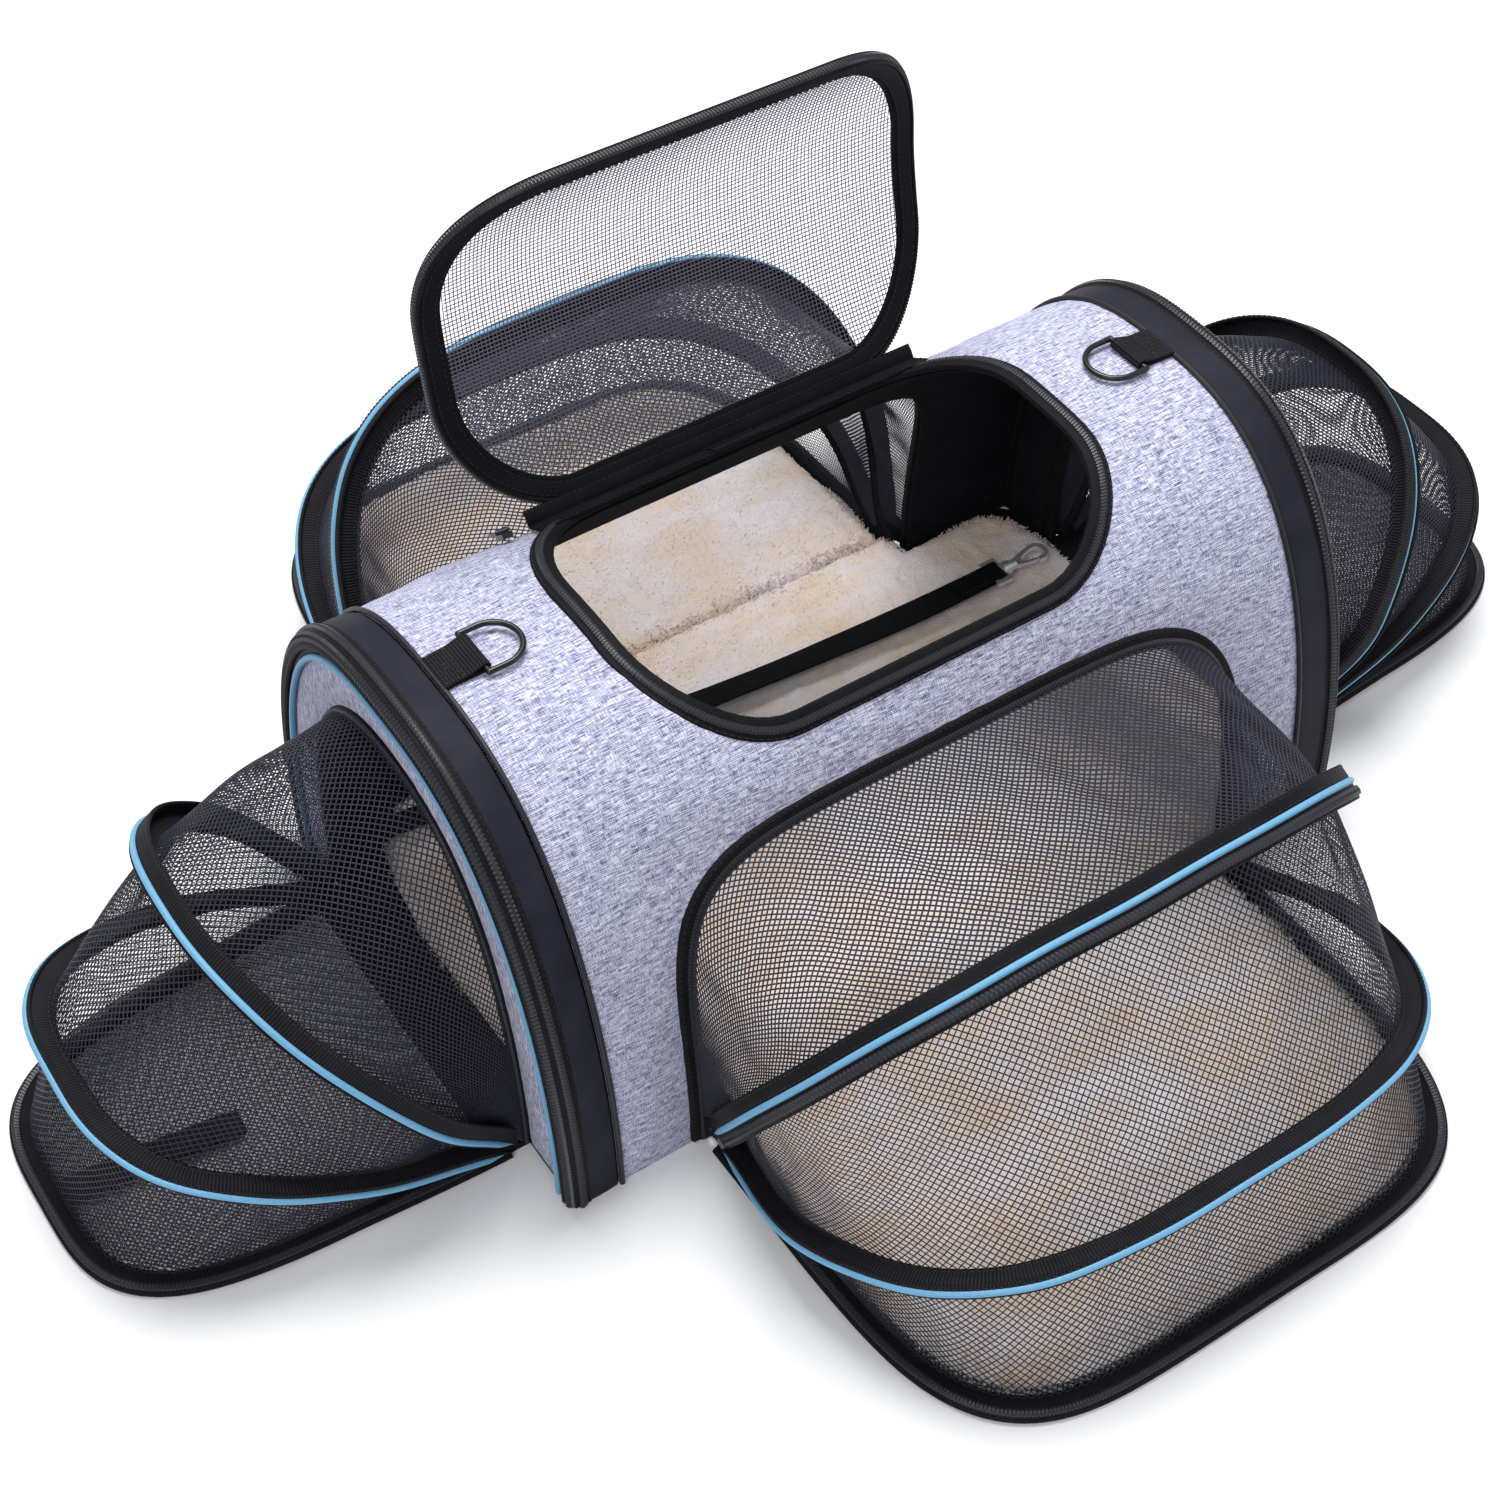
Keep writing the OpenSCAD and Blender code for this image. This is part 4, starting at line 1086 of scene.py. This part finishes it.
def bow_piece(name, side, b, a, off, body, node_, zip_=False, seed=0):
    p, ln = even_p(b, -5.2, 3.0)
    P = leaf(side, b, a, off, p, -5.2)
    N = np.tile(leaf_up(side, a), (len(P), 1))
    w = 0.5 * waves(np.arange(len(P)) * 3.0, 0 * p, 100 + seed, 70)
    P = P + N * w[:, None]
    d = np.minimum(p, pi - p)
    k = 0.55 + 0.45 * fade(d, 0.0, 0.10)
    base = pill(-5.4, 5.4, -1.9, 1.9, 1.6, 0.5)
    sec = base[None] * np.stack([k, 0.75 + 0.25 * k], -1)[:, None]
    parts = [(*sweep(P, N, sec), 0)]
    # flat inner edge of the tape, where the netting is sewn in
    Pi = leaf(side, b, a, off, p, -9.2) + N * w[:, None]
    parts.append((*sweep(Pi, N, pill(-2.6, 2.6, -0.7, 0.7, 0.6)[None] * k[:, None, None]), 2))
    parts.append((*stitch_line(P[6:-6], N[6:-6], 3.0, 2.15, 2.2, 1.1, 0.22), 3))
    # band round the outer edge, turned outwards; on a zipped bow it reaches below the piping too
    upper = "_upper_" in name
    hi_, lo_ = (8.6 if upper else 2.4), ((-5.8 if side == "back" else -9.4) if zip_ else (-1.6 if side == "right" else -3.4))
    if side == "back" and upper:
        hi_ = 5.4
    po, _ = even_p(b, 0.2, 3.0, 0.012, pi - 0.012)
    Po = leaf(side, b, a, off, po, 0.2)
    No = np.tile(leaf_up(side, a), (len(Po), 1))
    To, Bo, No = frames(Po, No)
    ko = 0.2 + 0.8 * fade(np.minimum(po, pi - po), 0.012, 0.13)
    Po = Po + No * (0.4 * waves(np.arange(len(Po)) * 3.0, 0 * po, 150 + seed, 60))[:, None]
    band = pill(lo_, hi_, -1.0, 0.8, 0.8, 0.3)
    band = band[None] * np.stack([ko, 0.6 + 0.4 * ko], -1)[:, None]
    parts.append((*sweep(Po, -Bo, band), 4 if zip_ else 0))
    pn = -0.3 if zip_ else (-1.6 if upper else -1.2)
    # piping tapers to a point at both roots
    kb = 0.18 + 0.82 * fade(np.minimum(po, pi - po), 0.012, 0.15)
    tuck = side == "right"
    pn = -3.0 if tuck else pn
    parts.append((*sweep(Po + No * (pn * ko)[:, None], -Bo, circle(1.7, 10, 1.0, (0, -1.4 if tuck else 0.9))[None] * kb[:, None, None]), 1))
    if not zip_:
        parts.append((*sweep(Po + No * ((pn - 2.4) * ko)[:, None], -Bo, circle(0.9, 8, 1.0, (0, 0.3))[None] * kb[:, None, None]), 2))
        parts.append((*stitch_line(Po[5:-5], -Bo[5:-5], (hi_ - 1.2), 0.9, 2.2, 1.1, 0.22), 3))
    else:
        parts.append((*coil(Po[8:-7], -Bo[8:-7], -3.4 if side == "back" else -5.6, 0.95, False, 4.0 if side == "back" else 5.0, 1.7, 2.3), 5))
        parts.append((*sweep(Po[-9:-5], -Bo[-9:-5], pill(-8.4, -2.2, 0.4, 3.0, 1.2)), 5))
        parts.append((*stitch_line(Po[5:-5], -Bo[5:-5], 2.6, 1.1, 2.2, 1.1, 0.22), 3))
        parts.append((*stitch_line(Po[5:-5], -Bo[5:-5], hi_ - 1.4, 0.9, 2.2, 1.1, 0.22), 3))
    ob = group(name, parts, [M_WEB, M_BLUE, M_BIND, M_THREAD, M_TAPE, M_COIL])
    ride(ob, body, [node_])
    leaf_up(side, a).tolist()
    (leaf(side, b, a, off, np.array([pi / 2]), -5.0)[0] * MM).tolist()
    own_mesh(ob)
    return ob


def floor_piece(side, b, seed):
    p, ln = even_p(b, -6.0, 3.0)
    P = leaf(side, b, 0, -GAP, p, -6.0)
    N = np.tile(up, (len(P), 1))
    P = P + N * (0.3 * waves(np.arange(len(P)) * 3.0, 0 * p, 200 + seed, 80))[:, None]
    parts = [(*sweep(P, N, pill(-6.6, 6.4, -1.9, 1.5, 1.5, 0.6)), 0),
             (*sweep(P, N, pill(-5.4, -0.6, 1.2, 2.0, 0.4)), 1),
             (*coil(P[4:-4], N[4:-4], -3.2, 1.9, False, 4.2, 1.3), 2),
             (*stitch_line(P, N, 4.6, 1.7, 2.2, 1.1, 0.22), 3)]
    hx = b[0] - 6
    xs = np.linspace(-hx, hx, 60)
    hw = 5.9 if side in ("front", "back") else 3.4
    Ph = leaf_xy(side, 0, -GAP, xs, hw + 0.3)
    parts.append((*sweep(Ph, np.tile(up, (60, 1)), pill(-hw, hw, -1.7, 1.3, 1.2, 0.4)), 0))
    parts.append((*stitch_line(Ph, up, hw - 1.8, 1.5, 2.2, 1.1, 0.22), 3))
    parts.append((*stitch_line(Ph, up, 1.8 - hw, 1.5, 2.2, 1.1, 0.22), 3))
    if side == "left":
        a, c = np.array([-426.0, -1.0, 4.6]), np.array([-338.0, -10.5, 3.6])
        t = np.linspace(0, 1, 40)[:, None]
        S = a + (c - a) * t + np.array([0, 0, 1.0]) * (np.sin(t * pi) * 1.6 + 0.9)
        parts.append((*sweep(S, np.tile(up, (40, 1)), pill(-7.5, 7.5, -0.7, 0.7, 0.6)), 4))
        parts.append((*stitch_line(S[2:-2], up, 6.0, 0.8, 2.0, 1.0, 0.24), 3))
        parts.append((*stitch_line(S[2:-2], up, -6.0, 0.8, 2.0, 1.0, 0.24), 3))
    ob = group("%s_floor_binding" % side, parts, [M_BIND, M_TAPE, M_COIL, M_THREAD, M_WEB])
    ride(ob, side + "_floor", [side + "_floor_frame"])
    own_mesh(ob)
    x, d = u_pt(b, np.linspace(0, pi, 60), -10.5)
    near = 10.0 if side in ("front", "back") else 5.5
    keep = d > near
    poly = np.concatenate([[[x[keep][0], near]], np.stack([x[keep], d[keep]], -1), [[x[keep][-1], near]]])
    side_in = side in ("front", "back")

    def place(q):
        z = -0.6 + 0.5 * waves(q[:, 0], q[:, 1], 210 + seed, 80)
        if side_in:
            z = z * 0.4 - 0.5
        return leaf_xy(side, 0, -GAP + z, q[:, 0], q[:, 1]), np.tile(up, (len(q), 1))

    V, F = square_net(poly, 1.9 if not side_in else 2.2, 4.0, place, 0.38 if not side_in else 0.36, diag=True, seed=220 + seed)
    ob = make("%s_floor_net" % side, V, F, [M_NET], closed=False, smooth=0)
    ride(ob, side + "_floor", [side + "_floor_mesh"])
    x, d = poly.T


def net_piece(name, side, A, B, node_, seed, cell=1.75, r=0.40, slack=2.6, gus=7.0):
    """Diamond netting over the ruled sheet between two edges, given as functions of p."""
    p = np.linspace(rad(3.0), rad(177.0), 1500)
    a, b = A(p), B(p)
    m = (a + b) / 2
    c = np.concatenate([[0], np.cumsum(np.linalg.norm(np.diff(m, axis=0), axis=1))])
    nu = int(round(c[-1] / cell))
    pp = np.interp(np.linspace(0, c[-1], nu + 1), c, p)
    a, b = A(pp), B(pp)
    wid = np.linalg.norm(b - a, axis=1)
    nv = int(round(np.percentile(wid, 92) / cell))
    v = np.linspace(0, 1, nv + 1)
    S = a[:, None] + (b - a)[:, None] * v[None, :, None]
    tu = unit(np.gradient(S, axis=0))
    tv = unit((b - a))[:, None] * np.ones_like(v)[None, :, None]
    N = unit(np.cross(tu, tv))
    uu = np.linspace(0, c[-1], nu + 1)[:, None] * np.ones_like(v)[None]
    vv = wid[:, None] * v[None]
    hump = np.sin(pi * np.clip(v, 0, 1))[None] ** 0.8
    w = slack * hump * (0.75 * waves(uu, vv * 0.5, seed, 75) + 0.35 * waves(uu, vv * 0.3, seed + 1, 28))
    bend_ = np.gradient(np.unwrap(np.arctan2(np.gradient(a[:, 1] + b[:, 1]), np.gradient(a[:, 0] + b[:, 0]))))
    S = S + N * w[..., None]
    S = S + tu * (0.25 * waves(uu, vv, seed + 2, 22) * hump)[..., None]
    ang = np.arange(3) * 2 * pi / 3 + 0.5
    Vs, Q, C3, Ws, k = [], [], [], [], 0
    for sgn in (1, -1):
        starts = np.arange(-nv + (nv % 2), nu + 1, 2)
        J = np.arange(nv + 1)
        I = starts[:, None] + (J[None] if sgn > 0 else (nv - J[None]))
        ok = (I >= 0) & (I <= nu)
        Ic = np.clip(I, 0, nu)
        Jb = np.broadcast_to(J[None], I.shape)
        P = S[Ic, Jb]
        Nn = N[Ic, Jb]
        T = unit(np.gradient(P, axis=1) + 1e-9)
        Bn = unit(np.cross(T, Nn))
        ring = Bn[:, :, None] * np.cos(ang)[None, None, :, None] + Nn[:, :, None] * np.sin(ang)[None, None, :, None]
        loc = wid[Ic] / nv
        rr_ = r * np.clip(0.45 + 0.55 * loc / cell, 0.45, 1.0)
        R = P[:, :, None] + ring * rr_[:, :, None, None]
        num = np.full(ok.shape, -1)
        num[ok] = np.arange(ok.sum())
        Vs.append(R[ok].reshape(-1, 3))
        Ws.append(np.repeat(v[Jb[ok]], 3))
        e = ok[:, :-1] & ok[:, 1:]
        s0, s1 = num[:, :-1][e] * 3 + k, num[:, 1:][e] * 3 + k
        j = np.arange(3)[None]
        j2 = (j + 1) % 3
        Q.append(np.stack([s0[:, None] + j, s1[:, None] + j, s1[:, None] + j2, s0[:, None] + j2], -1).reshape(-1, 4))
        long_ = ok.sum(1) > 1
        first = np.argmax(ok, 1)
        last = ok.shape[1] - 1 - np.argmax(ok[:, ::-1], 1)
        rows = np.flatnonzero(long_)
        f0 = num[rows, first[rows]] * 3 + k
        f1 = num[rows, last[rows]] * 3 + k
        C3.append(np.concatenate([f0[:, None] + np.array([[0, 1, 2]]), f1[:, None] + np.array([[2, 1, 0]])]))
        k += int(ok.sum()) * 3
    # folded tape at both roots, where the leaves meet
    n_thread = k
    for g0, g1 in ((0.8, gus), (180 - gus, 179.2)):
        gp = np.radians(np.linspace(g0, g1, 14))
        ga, gb = A(gp), B(gp)
        gv = np.linspace(0, 1, 5)
        G = ga[:, None] + (gb - ga)[:, None] * gv[None, :, None]
        gn = unit(np.cross(np.gradient(G, axis=0), (gb - ga)[:, None] + 0 * G))
        m5 = len(gv)
        R = np.concatenate([G + gn * 0.45, (G - gn * 0.45)[:, ::-1]], 1)
        c10 = 2 * m5
        Vs.append(R.reshape(-1, 3))
        Ws.append(np.tile(np.concatenate([gv, gv[::-1]]), len(gp)))
        i_ = np.arange(len(gp) - 1)[:, None] * c10
        j_ = np.arange(c10)[None]
        Q.append(np.stack(np.broadcast_arrays(k + i_ + j_, k + i_ + c10 + j_, k + i_ + c10 + (j_ + 1) % c10, k + i_ + (j_ + 1) % c10), -1).reshape(-1, 4))
        e_ = (len(gp) - 1) * c10
        q0 = np.arange(m5 - 1)
        Q.append(np.stack([q0, q0 + 1, c10 - 2 - q0, c10 - 1 - q0], -1) + k)
        Q.append(np.stack([q0 + e_, c10 - 1 - q0 + e_, c10 - 2 - q0 + e_, q0 + 1 + e_], -1) + k)
        k += len(R) * c10
    V = np.concatenate(Vs)
    W = np.concatenate(Ws)
    Fq, Ft = np.concatenate(Q), np.concatenate(C3)
    solid = np.concatenate([np.zeros(len(Ft)), (Fq[:, 0] >= n_thread)])
    used = np.zeros(len(V), bool)
    used[Fq.ravel()] = True
    new = np.cumsum(used) - 1
    solid = np.concatenate([np.zeros(int(used[Ft].all(1).sum())), solid[len(Ft):]])
    Ft = Ft[used[Ft].all(1)]
    V, W, Fq, Ft = V[used], W[used], new[Fq], new[Ft]
    ob = make(name, V, [Ft, Fq], [M_NET, M_BIND_FLAT], idx=solid, closed=True, smooth=0)
    if len(ob.data.vertices) != len(W):
        raise RuntimeError(name)
    bend(ob, [node_])
    return ob


for n_, side in enumerate(("front", "back", "left", "right")):
    bu, bl, bf, au, al = ROOMS[side]
    end = side in ("left", "right")
    bow_piece("%s_upper_bow_tape" % side, side, bu, au, GAP, side + "_upper", side + "_upper_bow", zip_=not end, seed=n_)
    bow_piece("%s_lower_bow_tape" % side, side, bl, al, 0.0, side + "_lower", side + "_lower_bow", seed=10 + n_)
    floor_piece(side, bf, n_)

    def rim(p, end=end, side=side):
        if end:
            q0, q1 = u_pt((96.0, 96.0, 188.0, 2.5), p)
            return turned(side, np.stack([q0, np.full_like(q0, XE + 2.0), np.maximum(q1, BASE + 1)], -1))
        q0, q1 = u_pt((160.0, 160.0, 159.0, 6.0), p)
        return turned(side, np.stack([q0, ys(q1, 2.6), q1], -1))

    up_in = lambda p, side=side, bu=bu, au=au: leaf(side, bu, au, GAP, p, -9.0)
    up_lo = lambda p, side=side, bu=bu, au=au: leaf(side, bu, au, GAP - 0.6, p, -9.0)
    lo_hi = lambda p, side=side, bl=bl, al=al: leaf(side, bl, al, 0.6, p, -9.0)
    lo_lo = lambda p, side=side, bl=bl, al=al: leaf(side, bl, al, -0.6, p, -9.0)
    fl = lambda p, side=side, bf=bf: leaf(side, bf, 0, -GAP + 1.2, p, -9.0)
    cell = 2.0
    net_piece("%s_upper_net" % side, side, rim, up_in, side + "_upper_netting", 300 + 10 * n_, 1.85, 0.52 if side == "front" else 0.43)
    net_piece("%s_middle_net" % side, side, up_lo, lo_hi, side + "_middle_netting", 303 + 10 * n_, cell, 0.36)
    net_piece("%s_lower_net" % side, side, lo_lo, fl, side + "_lower_netting", 306 + 10 * n_, cell, 0.36, slack=1.5)

# ------------------------------------------------------------------ studio
sc = bpy.context.scene
sc.view_settings.view_transform = "Standard"
sc.view_settings.look = "None"
me = bpy.data.meshes.new("floor")
me.from_pydata([(-6, -6, -0.0002), (6, -6, -0.0002), (6, 6, -0.0002), (-6, 6, -0.0002)], [], [(0, 1, 2, 3)])
floor = bpy.data.objects.new("floor", me)
sc.collection.objects.link(floor)
mf, ntf, bf_ = new_mat("pale_floor", (0.95, 0.95, 0.955), 0.9, spec=0.1)
me.materials.append(mf)


def area_light(name, loc, size, power, look=(0, 0, 0.1), color=(1, 1, 1)):
    d = bpy.data.lights.new(name, "AREA")
    d.shape = "DISK"
    d.size = size
    d.energy = power
    d.color = color
    o = bpy.data.objects.new(name, d)
    sc.collection.objects.link(o)
    o.location = loc
    o.rotation_mode = "QUATERNION"
    o.rotation_quaternion = (Vector(look) - Vector(loc)).to_track_quat("-Z", "Y")
    return o


area_light("top", (0.35, 0.75, 2.5), 1.5, 70)
area_light("key", (-1.5, -1.3, 2.1), 1.3, 20)
area_light("fill", (1.7, -1.6, 1.3), 1.8, 6)
w = bpy.data.worlds.new("studio")
sc.world = w
w.use_nodes = True
w.node_tree.nodes["Background"].inputs["Color"].default_value = (0.94, 0.96, 1.0, 1)
w.node_tree.nodes["Background"].inputs["Strength"].default_value = 0.42
